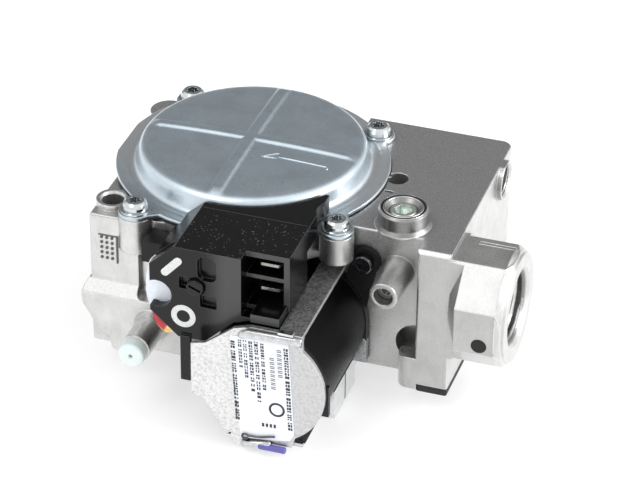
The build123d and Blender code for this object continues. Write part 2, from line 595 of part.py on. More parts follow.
def wire_sleeve():
    sleeve = rod_x(PLATE_FRONT - 0.9, ARM_LOW - 0.6, 0.9, 22.0, 29.4)
    return fillet(sleeve.edges(), 0.5)


def solenoid_screw():
    front = COIL_BACK - 2.4
    head = rod_y(BOLT_X, BOLT_Z, 2.65, front, COIL_BACK - 0.2)
    head = fillet(head.edges().group_by(Axis.Y)[0], 0.5)
    head -= Pos(BOLT_X, front, BOLT_Z) * Rot(90, 0, 0) * torx_recess(1.5, 1.4)
    return head + rod_y(BOLT_X, BOLT_Z, 1.6, COIL_BACK - 0.2, -12.0)


# ---- switch ------------------------------------------------------------------------------------
def switch_shell():
    back = -18.0
    face = [(-2.1, COVER_TOP), (15.6, COVER_TOP), (15.6, SWITCH_LOW), (19.0, SWITCH_LOW),
            (19.0, DECK - 12.4), (13.7, DECK - 13.2), (5.8, FACE_LOW), (-1.4, FACE_LOW),
            (-8.9, DECK - 14.2), (-8.9, DECK - 0.2)]
    front = plate_y(face, back, FACE_FRONT)
    right = block(15.0, COVER_RIGHT, WINDOW_FRONT, back, SWITCH_LOW, COVER_TOP)
    shell = front + right
    core = [(-2.1 + 0.7, COVER_TOP - WALL), (15.6 - WALL, COVER_TOP - WALL),
            (15.6 - WALL, DECK - 12.0), (5.0, FACE_LOW + WALL), (-1.4, FACE_LOW + 1.8),
            (-7.4, DECK - 13.6), (-7.4, DECK - 0.8)]
    shell -= plate_y(core, back + 1, FACE_FRONT + 2.4)
    shell -= block(15.6, COVER_RIGHT - WALL, WINDOW_FRONT - 1, back + 1, SWITCH_LOW - 1,
                   COVER_TOP - WALL)
    return shell


def switch_cover():
    shell = switch_shell()
    # terminal window: a lintel, a floor and a divider between the two terminals
    shell += block(15.0, COVER_RIGHT, -39.2, -38.0, SWITCH_LOW, COVER_TOP - 0.2)
    shell += block(15.0, COVER_RIGHT, WINDOW_FRONT, -38.0, SWITCH_LOW, SWITCH_LOW + 1.2)
    shell += block(15.0, COVER_RIGHT, WINDOW_FRONT, -38.0, DECK - 1.6, DECK - 0.5)
    shell += block(19.0, ARM_X[0] - 0.2, -56.6, WINDOW_FRONT + 1, ARM_TOP + 0.3, ARM_TOP + 2.6)
    shell += block(-0.6, 2.0, -54.8, -53.2, DECK - 33.4, FACE_LOW + 1)
    # hole for the knob, and the moulded pockets round it
    shell -= rod_y(KNOB_X, KNOB_Z, KNOB_R + 0.3, FACE_FRONT - 2, -50)
    for x0, x1, z0, z1, corner in SWITCH_POCKETS:
        pocket = block(x0, x1, FACE_FRONT - 1, FACE_FRONT + POCKET_DEPTH, DECK + z0, DECK + z1)
        shell -= fillet(pocket.edges().filter_by(Axis.Y), corner)
    # indicator window on the left edge, and the slot that its disc swings through
    shell -= rod_y(-7.0, DECK - 8.9, 3.95, -56, -50)
    shell -= block(-10, -7.0, -56, -50, DECK - 12.7, DECK - 6.4)
    slot = [(KNOB_X, KNOB_Z)] + ring_points(KNOB_X, KNOB_Z, 20.0, 126, 279, 24)
    shell -= plate_y(slot, -49.5, -51.3)
    # opening for the switch base in the left wall
    shell -= block(-12, -5, -44.0, -30, DECK - 9.9, DECK - 3.0)
    # clear of the diaphragm housing, its flange, the dome, the screw boss and the solenoid
    shell -= flange_outline(0.6, DECK - 14, DECK + FLANGE_T + GAP)
    shell -= rod_z(0, 0, DOME_R + 0.35, DECK, DECK + 12)
    shell -= rod_z(*SCREW_SPOTS[1], 5.2, DECK - 30, DECK + 12)
    shell -= rod_y(COIL_X, COIL_Z, COIL_R + 0.6, -59, FRONT)
    shell -= block(ARM_X[0] - GAP, ARM_X[1] + GAP, -59, FRONT, ARM_TOP - 2, ARM_TOP + GAP)
    return shell - block(-12, 30, LEFT_FRONT - 0.2, -10, 0, DECK - 0.5)


def switch_base():
    base = block(-16.3, 14.0, -43.5, -33.6, DECK - 9.5, DECK - 3.4)
    base -= rod_z(*SCREW_SPOTS[0], 4.8, 0, DECK + 5)
    base -= rod_z(0, 0, HOUSING_R + GAP, 0, DECK + 5)
    base -= block(-17, -9.2, -45, -40.5, 0, DECK)
    return base - rod_y(KNOB_X, KNOB_Z, 1.3 + CLEAR, -50, -30)


def switch_knob():
    hub = rod_y(KNOB_X, KNOB_Z, KNOB_R, KNOB_FRONT, -50.9)
    hub = fillet(hub.edges().group_by(Axis.Y)[0], 0.4)
    slot = block(KNOB_X - 1.7, KNOB_X + 1.7, KNOB_FRONT - 1, KNOB_FRONT + 0.9, KNOB_Z - 0.4, KNOB_Z + 0.4)
    shaft = rod_y(KNOB_X, KNOB_Z, 1.3, -50.9, -37.0)
    return hub + shaft - Pos(KNOB_X, 0, KNOB_Z) * Rot(0, 22, 0) * Pos(-KNOB_X, 0, -KNOB_Z) * slot


def indicator_disc():
    arc = ring_points(KNOB_X, KNOB_Z, 15.2, 160, 204, 12)
    lobe = ring_points(KNOB_X, KNOB_Z, 19.4, 217, 246, 10)
    sector = plate_y([(KNOB_X, KNOB_Z)] + arc + lobe, -50.0, -50.8)
    disc = sector + rod_y(KNOB_X, KNOB_Z, 3.4, -50.8, -50.0)
    return disc - rod_y(KNOB_X, KNOB_Z, 1.3, -52, -49)


def terminal_blade(z):
    half = BLADE_T / 2
    blade = block(BLADE_X, BLADE_X + BLADE_W, WINDOW_FRONT + 0.6, -39.2, z - half, z + half)
    return chamfer(blade.edges().filter_by(Axis.Z).sort_by(Axis.Y)[:2], 0.9)


def upper_terminal():
    return terminal_blade(DECK + 2.6)


def lower_terminal():
    return terminal_blade(DECK - 4.6)


NODES = {
    "valve_body": valve_body,
    "diaphragm_cover": diaphragm_cover,
    "cover_screws": cover_screws,
    "main_diaphragm": main_diaphragm,
    "diaphragm_plate": diaphragm_plate,
    "lower_clamp_plate": lower_clamp_plate,
    "main_valve_stem": main_valve_stem,
    "main_valve_disc": main_valve_disc,
    "main_valve_seat": main_valve_seat,
    "main_valve_spring": main_valve_spring,
    "bottom_gasket": bottom_gasket,
    "bottom_cover": bottom_cover,
    "bottom_cover_screws": bottom_cover_screws,
    "base_pad": base_pad,
    "inlet_screen": inlet_screen,
    "regulator_adjusting_screw": regulator_adjusting_screw,
    "regulator_spring_seat": regulator_spring_seat,
    "regulator_spring": regulator_spring,
    "regulator_poppet": regulator_poppet,
    "pressure_tap_screw": pressure_tap_screw,
    "vent_plug": vent_plug,
    "solenoid_frame": solenoid_frame,
    "frame_label": frame_label,
    "solenoid_bracket": solenoid_bracket,
    "coil_bobbin": coil_bobbin,
    "coil_winding": coil_winding,
    "coil_wrap": coil_wrap,
    "plunger_tube": plunger_tube,
    "pole_core": pole_core,
    "solenoid_plunger": solenoid_plunger,
    "shutoff_disc": shutoff_disc,
    "shutoff_seat": shutoff_seat,
    "plunger_spring": plunger_spring,
    "tube_o_ring": tube_o_ring,
    "coil_clip": coil_clip,
    "wire_sleeve": wire_sleeve,
    "solenoid_screw": solenoid_screw,
    "switch_cover": switch_cover,
    "switch_base": switch_base,
    "switch_knob": switch_knob,
    "indicator_disc": indicator_disc,
    "upper_terminal": upper_terminal,
    "lower_terminal": lower_terminal,
}


def main():
    os.makedirs("parts", exist_ok=True)
    for name, make in NODES.items():
        shape = make()
        if isinstance(shape, list):
            shape = Compound(children=shape)
        export_step(shape, f"parts/{name}.step")
        print(name, round(shape.volume, 1))


if __name__ == "__main__":
    main()
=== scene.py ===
import bpy
import random
from math import atan2, cos, hypot, pi, radians, sin, sqrt, tan
from mathutils import Matrix, Vector


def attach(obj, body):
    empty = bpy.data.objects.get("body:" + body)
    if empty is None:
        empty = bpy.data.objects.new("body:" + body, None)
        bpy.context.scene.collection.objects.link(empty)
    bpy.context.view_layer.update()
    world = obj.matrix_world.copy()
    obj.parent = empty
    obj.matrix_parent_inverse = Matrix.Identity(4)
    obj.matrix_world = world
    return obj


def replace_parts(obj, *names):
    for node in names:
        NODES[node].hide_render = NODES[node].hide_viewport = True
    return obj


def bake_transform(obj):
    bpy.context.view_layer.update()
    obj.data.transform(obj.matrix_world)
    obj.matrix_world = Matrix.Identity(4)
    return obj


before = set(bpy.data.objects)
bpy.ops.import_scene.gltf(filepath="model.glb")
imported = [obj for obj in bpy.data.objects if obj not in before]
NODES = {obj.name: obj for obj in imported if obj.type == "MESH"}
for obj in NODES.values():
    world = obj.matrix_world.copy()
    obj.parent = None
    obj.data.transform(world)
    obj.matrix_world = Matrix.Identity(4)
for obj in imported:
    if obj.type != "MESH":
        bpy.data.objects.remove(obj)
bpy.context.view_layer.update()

# All lengths below are millimetres in the row frame unless a comment says otherwise.
MM = 0.001
# height of the body's machined deck over the underside
DECK = 48.5
# front faces of the solenoid's end plate and of the switch cover, and the switch cover's top
PLATE_FRONT = -58.4
FACE_FRONT = -54.0
COVER_TOP = DECK + 6.0
# the cover screws, in the plane of the deck
SCREWS = [(-20.5, -33.5), (31.3, -25.0), (27.3, 23.1), (-26.1, 24.4)]
# axes of the ports that run along X, as (y, z)
INLET = (-19.9, DECK - 16.2)
OUTLET = (-8.0, DECK - 24.0)
SIDE = (21.3, DECK - 5.0)
# axes of the knob and the pressure tap, which run along Y, as (x, z)
KNOB = (3.6, DECK - 4.6)
TAP = (46.7, DECK - 11.0)
# axis of the regulator as (x, y), and the height of its boss over the deck
REGULATOR = (46.2, -15.6)
REGULATOR_TOP = 4.98

X, Y, Z = 0, 1, 2
UPWARD = (0, 0, 1)
FRONTWARD = (0, -1, 0)


# ---- materials ---------------------------------------------------------------------------------
class Shade:
    """A principled material whose textures run in object millimetres."""

    def __init__(self, name, metallic=0.0, **values):
        self.mat = bpy.data.materials.new(name)
        self.mat.use_nodes = True
        self.tree = self.mat.node_tree
        self.bsdf = self.tree.nodes["Principled BSDF"]
        self.bsdf.inputs["Metallic"].default_value = metallic
        for key, value in values.items():
            self.bsdf.inputs[key.replace("_", " ")].default_value = value
        coord = self.node("ShaderNodeTexCoord")
        scale = self.node("ShaderNodeVectorMath", operation="SCALE")
        scale.inputs["Scale"].default_value = 1.0 / MM
        self.link(coord.outputs["Object"], scale.inputs[0])
        self.mm = scale.outputs[0]

    def node(self, kind, **props):
        made = self.tree.nodes.new(kind)
        for key, value in props.items():
            setattr(made, key, value)
        return made

    def link(self, source, target):
        self.tree.links.new(source, target)

    def feed(self, socket, value):
        if isinstance(value, bpy.types.NodeSocket):
            self.link(value, socket)
        else:
            socket.default_value = value

    def stretched(self, factors):
        made = self.node("ShaderNodeVectorMath", operation="MULTIPLY")
        self.link(self.mm, made.inputs[0])
        made.inputs[1].default_value = factors
        return made.outputs[0]

    def noise(self, per_mm, detail=3.0, rough=0.55, where=None):
        made = self.node("ShaderNodeTexNoise")
        self.link(where or self.mm, made.inputs["Vector"])
        made.inputs["Scale"].default_value = per_mm
        made.inputs["Detail"].default_value = detail
        made.inputs["Roughness"].default_value = rough
        return made.outputs["Fac"]

    def cells(self, per_mm, where=None):
        """Distance to the nearest of many scattered points."""
        made = self.node("ShaderNodeTexVoronoi")
        self.link(where or self.mm, made.inputs["Vector"])
        made.inputs["Scale"].default_value = per_mm
        return made.outputs["Distance"]

    def math(self, op, a, b=0.0):
        made = self.node("ShaderNodeMath", operation=op)
        self.feed(made.inputs[0], a)
        self.feed(made.inputs[1], b)
        return made.outputs[0]

    def times(self, a, b):
        return self.math("MULTIPLY", a, b)

    def weighted(self, a, share_a, b, share_b):
        return self.math("ADD", self.times(a, share_a), self.times(b, share_b))

    def axis(self, index):
        made = self.node("ShaderNodeSeparateXYZ")
        self.link(self.mm, made.inputs[0])
        return made.outputs[index]

    def distance(self, first, second, centre):
        """Distance from a point in the plane of two axes."""
        u = self.math("SUBTRACT", self.axis(first), centre[0])
        v = self.math("SUBTRACT", self.axis(second), centre[1])
        return self.math("SQRT", self.math("ADD", self.times(u, u), self.times(v, v)))

    def step(self, value, low, high, to_low=0.0, to_high=1.0):
        made = self.node("ShaderNodeMapRange", interpolation_type="SMOOTHSTEP")
        self.feed(made.inputs["Value"], value)
        made.inputs["From Min"].default_value = low
        made.inputs["From Max"].default_value = high
        made.inputs["To Min"].default_value = to_low
        made.inputs["To Max"].default_value = to_high
        return made.outputs["Result"]

    def ramp(self, value, *stops):
        made = self.node("ShaderNodeValToRGB")
        self.feed(made.inputs["Fac"], value)
        points = made.color_ramp.elements
        while len(points) < len(stops):
            points.new(0.5)
        for point, (place, tone) in zip(points, stops):
            point.position = place
            rgb = tone if isinstance(tone, tuple) else (tone, tone, tone)
            point.color = (*rgb, 1.0)
        return made.outputs["Color"]

    def mix(self, factor, a, b):
        made = self.node("ShaderNodeMix", data_type="RGBA")
        self.feed(made.inputs[0], factor)
        for socket, value in ((made.inputs[6], a), (made.inputs[7], b)):
            self.feed(socket, (*value, 1.0) if isinstance(value, tuple) else value)
        return made.outputs[2]

    def coat(self, base, mask, share, colour):
        """Lays a colour over the base where the mask is, at a share of its strength."""
        return self.mix(self.times(mask, share), base, colour)

    def facing(self, axis):
        """How far the true surface looks along an axis, from -1 to 1."""
        geometry = self.node("ShaderNodeNewGeometry")
        dot = self.node("ShaderNodeVectorMath", operation="DOT_PRODUCT")
        self.link(geometry.outputs["True Normal"], dot.inputs[0])
        dot.inputs[1].default_value = axis
        return dot.outputs["Value"]

    def rounded(self, radius):
        """The bevelled normal, and how close to an edge the point lies."""
        bevel = self.node("ShaderNodeBevel", samples=4)
        bevel.inputs["Radius"].default_value = radius * MM
        geometry = self.node("ShaderNodeNewGeometry")
        dot = self.node("ShaderNodeVectorMath", operation="DOT_PRODUCT")
        self.link(bevel.outputs["Normal"], dot.inputs[0])
        self.link(geometry.outputs["Normal"], dot.inputs[1])
        return bevel.outputs["Normal"], self.step(dot.outputs["Value"], 1.0, 0.9)

    def cavity(self, reach, full=0.35, clear=0.85):
        """1 deep in corners and holes, 0 out in the open."""
        made = self.node("ShaderNodeAmbientOcclusion", samples=6)
        made.inputs["Distance"].default_value = reach * MM
        return self.step(made.outputs["AO"], clear, full)

    def bump(self, height, depth, normal=None):
        made = self.node("ShaderNodeBump")
        made.inputs["Strength"].default_value = 1.0
        made.inputs["Distance"].default_value = depth * MM
        self.feed(made.inputs["Height"], height)
        if normal is not None:
            self.link(normal, made.inputs["Normal"])
        self.link(made.outputs["Normal"], self.bsdf.inputs["Normal"])

    def colour(self, value):
        self.feed(self.bsdf.inputs["Base Color"], value)

    def roughness(self, value):
        self.feed(self.bsdf.inputs["Roughness"], value)


def tint(tone, colour):
    """A colour made darker or brighter."""
    return tuple(tone * part for part in colour)


def cast_metal():
    """Die-cast aluminium: pale as-cast skin, darker and finer on the machined deck."""
    s = Shade("cast_alloy", metallic=0.92)
    normal, edge = s.rounded(0.45)
    mottle = s.noise(0.16, 4)
    grain = s.noise(3.4, 4, 0.8)
    streak = s.noise(1.0, 4, 0.65, where=s.stretched((0.9, 0.9, 0.22)))
    cloud = s.weighted(mottle, 0.65, streak, 0.35)
    skin = s.ramp(s.weighted(cloud, 0.5, grain, 0.5),
                  (0.36, tint(0.54, (1.0, 0.995, 0.98))), (0.64, tint(0.80, (1.0, 1.0, 0.99))))
    # painted shade: faces that look to the front are greyer towards the inlet
    front = s.times(s.step(s.facing(FRONTWARD), 0.6, 0.95), s.step(s.axis(X), -24.0, 24.0))
    skin = s.coat(skin, front, 0.46, (0.22, 0.22, 0.22))
    deck = s.times(s.step(s.facing(UPWARD), 0.9, 0.97), s.step(s.axis(Z), DECK - 1.2, DECK - 0.6))
    tooled = s.noise(3.2, 4, 0.8)
    flat = s.ramp(tooled, (0.38, tint(0.42, (0.98, 0.98, 1.0))), (0.62, tint(0.72, (1.0, 1.0, 1.02))))
    body = s.mix(deck, skin, flat)
    pits = s.step(s.cells(2.2), 0.10, 0.02)
    body = s.coat(body, pits, 0.35, (0.25, 0.25, 0.25))
    # painted highlight along the edges
    body = s.coat(body, edge, 0.8, (0.96, 0.96, 0.95))
    # painted shade inside the inlet and the tap; darker round the regulator plug
    plug = s.times(s.step(s.distance(X, Y, REGULATOR), 8.2, 7.6), s.step(s.axis(Z), DECK + 0.02, DECK + 0.2))
    body = s.coat(body, plug, 0.66, (0.09, 0.088, 0.085))
    inlet = s.times(s.step(s.distance(Y, Z, INLET), 10.3, 9.6), s.step(s.axis(X), 63.6, 64.2))
    body = s.coat(body, inlet, 0.8, (0.10, 0.098, 0.092))
    tap = s.times(s.step(s.distance(X, Z, TAP), 2.9, 2.65), s.step(s.axis(Y), -33.6, -33.0))
    body = s.coat(body, tap, 0.85, (0.07, 0.068, 0.065))
    # painted shade: the sloped front is darker, most of all at its left-hand end
    slope = s.step(s.facing((0, -0.707, 0.707)), 0.94, 0.99)
    slope = s.times(slope, s.step(s.axis(X), 0.0, -10.0, 0.36, 0.80))
    body = s.mix(slope, body, (0.34, 0.34, 0.335))
    # painted shade in corners and hollows
    body = s.coat(body, s.cavity(5.0), 0.5, (0.14, 0.14, 0.135))
    s.colour(body)
    s.roughness(s.step(grain, 0.2, 0.8, 0.22, 0.40))
    s.bump(s.math("ADD", grain, s.times(cloud, 1.5)), 0.024, normal)
    return s.mat


def dome_zinc():
    """Zinc-plated pressed steel with a fine crystal grain, rubbed places and light scratches."""
    colour = (0.79, 0.91, 1.0)
    s = Shade("dome_zinc", metallic=1.0)
    normal, edge = s.rounded(0.3)
    cloud = s.noise(0.12, 4, 0.6)
    grain = s.noise(2.4, 4, 0.75)
    base = s.ramp(s.weighted(cloud, 0.5, grain, 0.5), (0.36, tint(0.82, colour)), (0.64, colour))
    line = s.step(s.noise(0.9, 2, 0.5, where=s.stretched((0.25, 9.0, 4.0))), 0.70, 0.76)
    base = s.coat(base, line, 0.25, (0.92, 0.95, 0.97))
    # painted highlight along the edges
    base = s.coat(base, edge, 0.4, (0.92, 0.94, 0.95))
    # painted reflection makes the flange paler at the back; painted shade makes it darker in front, and the
    # wall darker than the top
    flange = s.step(s.axis(Z), DECK + 2.4, DECK + 1.4)
    back = s.times(flange, s.step(s.axis(Y), -30.0, 0.0, 0.1, 0.75))
    base = s.mix(back, base, (0.95, 0.97, 0.98))
    front = s.times(flange, s.step(s.axis(Y), -20.0, -30.0))
    base = s.coat(base, front, 0.5, (0.40, 0.44, 0.47))
    wall = s.times(s.step(s.facing(UPWARD), 0.85, 0.5), s.step(s.axis(Z), DECK + 1.4, DECK + 2.4))
    base = s.coat(base, wall, 0.4, (0.44, 0.49, 0.52))
    smudge = s.times(s.step(s.noise(0.11, 3, 0.5), 0.56, 0.66), s.step(grain, 0.45, 0.6))
    base = s.coat(base, smudge, 0.22, (0.30, 0.33, 0.36))
    # painted shade in corners and hollows
    base = s.coat(base, s.cavity(3.5, 0.45, 0.95), 0.6, (0.26, 0.28, 0.29))
    s.colour(base)
    s.roughness(s.step(grain, 0.25, 0.75, 0.26, 0.42))
    s.bump(s.math("ADD", grain, s.times(line, 0.4)), 0.008, normal)
    return s.mat


def frame_zinc():
    """The solenoid frame: near-white zinc with grey flecks in front, and a painted dark reflection on its
    strap.
    """
    s = Shade("frame_zinc", metallic=0.75)
    normal, edge = s.rounded(0.3)
    grain = s.noise(1.7, 4, 0.75)
    flecks = s.step(s.noise(1.15, 5, 0.85), 0.47, 0.58)
    right = s.step(s.axis(X), 10.0, 32.0)
    pale = s.mix(right, (0.80, 0.80, 0.80), (0.60, 0.60, 0.61))
    pale = s.coat(pale, flecks, 0.55, (0.40, 0.40, 0.39))
    # painted dark reflection: the strap's up-facing faces are dark
    dark_reflection = s.ramp(grain, (0.38, 0.11), (0.62, 0.40))
    strap = s.step(s.facing(UPWARD), 0.5, 0.9)
    base = s.mix(strap, pale, dark_reflection)
    # painted shade in creases and corners
    base = s.coat(base, s.cavity(1.0), 0.85, (0.07, 0.07, 0.07))
    # painted highlight along the edges
    base = s.coat(base, edge, 0.7, (0.95, 0.95, 0.95))
    s.colour(base)
    s.roughness(s.step(grain, 0.25, 0.75, 0.32, 0.52))
    s.bump(grain, 0.02, normal)
    return s.mat


def plain_metal(name, colour, rough=(0.2, 0.35), per_mm=4.0, spread=0.14, metallic=1.0, corner_shade=0.5,
                reach=1.2):
    """A plain metal, cloudy by its spread, with a painted highlight on its edges and painted shade in its
    corners.
    """
    s = Shade(name, metallic=metallic)
    normal, edge = s.rounded(0.12)
    grain = s.noise(per_mm, 3, 0.6)
    cloud = s.noise(0.5, 3)
    blend = s.weighted(cloud, 0.5, grain, 0.5)
    base = s.ramp(blend, (0.35, tint(1.0 - spread, colour)), (0.65, colour))
    # painted highlight along the edges
    base = s.coat(base, edge, 0.5, tint(1.12, colour))
    # painted shade in corners and hollows
    s.colour(s.coat(base, s.cavity(reach), corner_shade, tint(0.08, colour)))
    s.roughness(s.step(grain, 0.25, 0.75, *rough))
    s.bump(grain, 0.006, normal)
    return s.mat


def plastic(name, colour, rough=(0.3, 0.42), per_mm=2.5, spread=0.25, depth=0.006, edge_highlight_tone=1.5,
            **values):
    """A moulded plastic with a fine grain; a painted highlight makes its edges brighter by the given edge
    tone.
    """
    s = Shade(name, **values)
    normal, edge = s.rounded(0.15)
    grain = s.noise(per_mm, 3, 0.6)
    cloud = s.noise(0.25, 3)
    blend = s.weighted(cloud, 0.6, grain, 0.4)
    base = s.ramp(blend, (0.35, tint(1.0 - spread, colour)), (0.65, colour))
    # painted highlight along the edges
    s.colour(s.coat(base, edge, 0.6, tint(edge_highlight_tone, colour)))
    s.roughness(s.step(grain, 0.25, 0.75, *rough))
    s.bump(grain, depth, normal)
    return s.mat


def switch_plastic():
    """Glossy black moulding: fine raised specks on its top with painted glints, a satin face with a painted
    sheen on its right, and a painted highlight on its edges.
    """
    s = Shade("switch_plastic", IOR=1.42)
    normal, edge = s.rounded(0.28)
    top = s.times(s.step(s.facing(UPWARD), 0.9, 0.97), s.step(s.axis(Z), COVER_TOP - 1.0, COVER_TOP - 0.5))
    patch = s.times(top, s.step(s.axis(Y), -34.6, -35.4))
    speck = s.step(s.cells(1.0, where=s.stretched((1.0, 1.25, 1.0))), 0.27, 0.15)
    pick = s.step(s.noise(0.45, 3, 0.7), 0.47, 0.56)
    stipple_and_glint = s.times(patch, s.times(speck, pick))
    grain = s.noise(3.0, 3, 0.6)
    base = s.ramp(grain, (0.3, 0.001), (0.7, 0.003))
    # painted sheen: the right of the face is lighter
    right = s.times(s.step(s.axis(X), 5.0, 12.0), s.step(s.facing(FRONTWARD), 0.9, 0.97))
    base = s.coat(base, right, 0.8, (0.075, 0.075, 0.078))
    # painted glints: the raised specks are lighter
    base = s.mix(stipple_and_glint, base, (0.10, 0.10, 0.10))
    # painted highlight along the edges
    base = s.coat(base, edge, 0.6, (0.12, 0.12, 0.13))
    s.colour(base)
    s.roughness(s.step(grain, 0.25, 0.75, 0.14, 0.26))
    s.bump(s.math("ADD", s.times(grain, 0.1), stipple_and_glint), 0.09, normal)
    return s.mat


def indicator_paint():
    """White moulded disc with a red sector, and a yellow rim and end, laid out about its hub."""
    s = Shade("indicator_paint", IOR=1.47)
    angle = s.math("ARCTAN2", s.math("SUBTRACT", s.axis(Z), KNOB[1]), s.math("SUBTRACT", s.axis(X), KNOB[0]))
    radius = s.distance(X, Z, KNOB)
    cloud = s.noise(0.8, 3)
    white = s.ramp(cloud, (0.3, (0.78, 0.83, 0.92)), (0.7, (0.88, 0.92, 0.98)))
    red = s.ramp(cloud, (0.3, (0.42, 0.02, 0.03)), (0.7, (0.60, 0.05, 0.06)))
    yellow = s.ramp(cloud, (0.3, (0.90, 0.50, 0.08)), (0.7, (0.98, 0.85, 0.50)))
    lobe = s.times(s.step(angle, radians(-138.5), radians(-137.0)), s.step(angle, 0.4, 0.2))
    lobe = s.times(lobe, s.step(radius, 15.6, 16.2))
    rim = s.step(s.math("ADD", radius, s.times(cloud, 0.9)), 20.4, 20.9)
    end = s.step(angle, radians(-121.0), radians(-119.0))
    s.colour(s.mix(lobe, white, s.mix(s.math("MAXIMUM", rim, end), red, yellow)))
    s.roughness(s.step(cloud, 0.2, 0.8, 0.32, 0.45))
    s.bump(cloud, 0.01)
    return s.mat


def printed_label():
    """Bluish white label paper with a faint fibre."""
    s = Shade("printed_label", IOR=1.45)
    fibre = s.noise(1.6, 4, 0.7)
    cloud = s.noise(0.15, 3)
    base = s.coat((0.86, 0.885, 0.94), cloud, 0.5, (0.82, 0.85, 0.93))
    s.colour(s.mix(s.step(fibre, 0.62, 0.75, 0.0, 0.25), base, (0.76, 0.79, 0.86)))
    s.roughness(s.step(fibre, 0.2, 0.8, 0.42, 0.60))
    s.bump(fibre, 0.006)
    return s.mat


def ink(name, tone, rough=0.5):
    """A thin coat, a little worn, for ink, paint and grime, and for painted shade."""
    s = Shade(name, IOR=1.45)
    wear = s.noise(3.0, 4, 0.7)
    s.colour(s.ramp(wear, (0.35, tint(0.7, tone)), (0.7, tone)))
    s.roughness(s.step(wear, 0.2, 0.8, rough - 0.08, rough + 0.08))
    s.bump(wear, 0.004)
    return s.mat


CAST = cast_metal()
DOME = dome_zinc()
FRAME = frame_zinc()
BRIGHT = plain_metal("bright_zinc", (0.70, 0.74, 0.76), rough=(0.10, 0.20), corner_shade=0.8, reach=1.3)
TAP_SCREW = plain_metal("tap_screw_steel", (0.52, 0.52, 0.51), rough=(0.08, 0.18), corner_shade=0.8)
FOLD = plain_metal("fold_zinc", (0.72, 0.73, 0.74), rough=(0.14, 0.26), per_mm=1.8, spread=0.35,
                   corner_shade=0.9, reach=1.5)
DULL_ZINC = plain_metal("dull_zinc", (0.42, 0.43, 0.44), rough=(0.20, 0.34), per_mm=1.6, spread=0.4)
# dark grey for the date grid, and painted shadow in the fold's creases
DARK_GREY_AND_SHADOW = ink("dark_grey_and_painted_shadow", (0.14, 0.14, 0.135))
SKIRT = plain_metal("bracket_zinc", (0.86, 0.87, 0.88), rough=(0.30, 0.42), per_mm=1.6)
STEEL = plain_metal("steel", (0.56, 0.56, 0.55))
SPRING = plain_metal("spring_steel", (0.42, 0.43, 0.45), rough=(0.22, 0.35))
BRASS = plain_metal("brass", (0.78, 0.60, 0.28))
COPPER = plain_metal("copper", (0.80, 0.42, 0.25), rough=(0.25, 0.4), per_mm=1.2)
TINNED = plain_metal("tinned_brass", (0.46, 0.45, 0.41), rough=(0.22, 0.38), per_mm=1.8, spread=0.45)
GREEN_ZINC = plain_metal("yellow_zinc", (0.88, 0.95, 0.90), rough=(0.26, 0.4), per_mm=2.0, spread=0.2,
                         corner_shade=0.25)
BLACK_STEEL = plain_metal("black_steel", (0.13, 0.13, 0.14), rough=(0.05, 0.12), spread=0.5, metallic=0.95)
MACHINED = plain_metal("machined_ring", (0.72, 0.72, 0.72), rough=(0.16, 0.28), per_mm=6.0, spread=0.35)
SWITCH = switch_plastic()
KNOB_BLACK = plastic("knob_plastic", (0.006, 0.006, 0.006), rough=(0.22, 0.34), edge_highlight_tone=14.0, IOR=1.42)
BLACK = plastic("black_plastic", (0.005, 0.005, 0.006), rough=(0.34, 0.5), edge_highlight_tone=5.0, IOR=1.4)
WRAP = plastic("coil_tape", (0.0025, 0.0025, 0.003), rough=(0.34, 0.44), per_mm=0.9,
               Specular_IOR_Level=0.14)
RUBBER = plastic("rubber", (0.014, 0.014, 0.014), rough=(0.55, 0.75), depth=0.02)
NYLON = plastic("white_nylon", (0.80, 0.87, 0.84), rough=(0.34, 0.48), spread=0.05, edge_highlight_tone=1.1,
                Subsurface_Weight=0.12)
PURPLE = plastic("purple_sleeve", (0.13, 0.12, 0.42), rough=(0.4, 0.55), spread=0.2)
LABEL = printed_label()
INDICATOR = indicator_paint()
DARK_INK = ink("dark_ink", (0.035, 0.035, 0.045))
WHITE_INK = ink("white_ink", (0.85, 0.86, 0.87), 0.4)
# black paint for the spot, and painted shade in the regulator groove and the bracket gap
BLACK_PAINT_AND_SHADE = ink("black_paint_and_painted_shade", (0.006, 0.006, 0.006), 0.55)

LOOKS = {
    "valve_body": CAST, "cover_screws": BRIGHT, "main_diaphragm": RUBBER, "diaphragm_plate": STEEL,
    "lower_clamp_plate": STEEL, "main_valve_stem": STEEL, "main_valve_disc": RUBBER,
    "main_valve_seat": BRASS, "main_valve_spring": SPRING, "bottom_gasket": RUBBER,
    "bottom_cover": SKIRT, "bottom_cover_screws": BRIGHT, "base_pad": RUBBER, "inlet_screen": STEEL,
    "regulator_adjusting_screw": GREEN_ZINC, "regulator_spring_seat": STEEL,
    "regulator_spring": SPRING, "regulator_poppet": STEEL, "pressure_tap_screw": TAP_SCREW,
    "vent_plug": NYLON, "solenoid_frame": FRAME, "solenoid_bracket": SKIRT, "coil_bobbin": BLACK,
    "coil_winding": COPPER, "coil_wrap": WRAP, "plunger_tube": STEEL, "pole_core": STEEL,
    "solenoid_plunger": STEEL, "shutoff_disc": RUBBER, "shutoff_seat": BRASS,
    "plunger_spring": SPRING, "tube_o_ring": RUBBER, "wire_sleeve": PURPLE,
    "solenoid_screw": BLACK_STEEL, "switch_cover": SWITCH, "switch_base": BLACK,
    "switch_knob": KNOB_BLACK, "indicator_disc": INDICATOR, "upper_terminal": TINNED,
    "lower_terminal": TINNED, "diaphragm_cover": DOME, "frame_label": LABEL, "coil_clip": BRIGHT,
}
for node, look in LOOKS.items():
    for place in NODES[node].material_slots:
        place.material = look


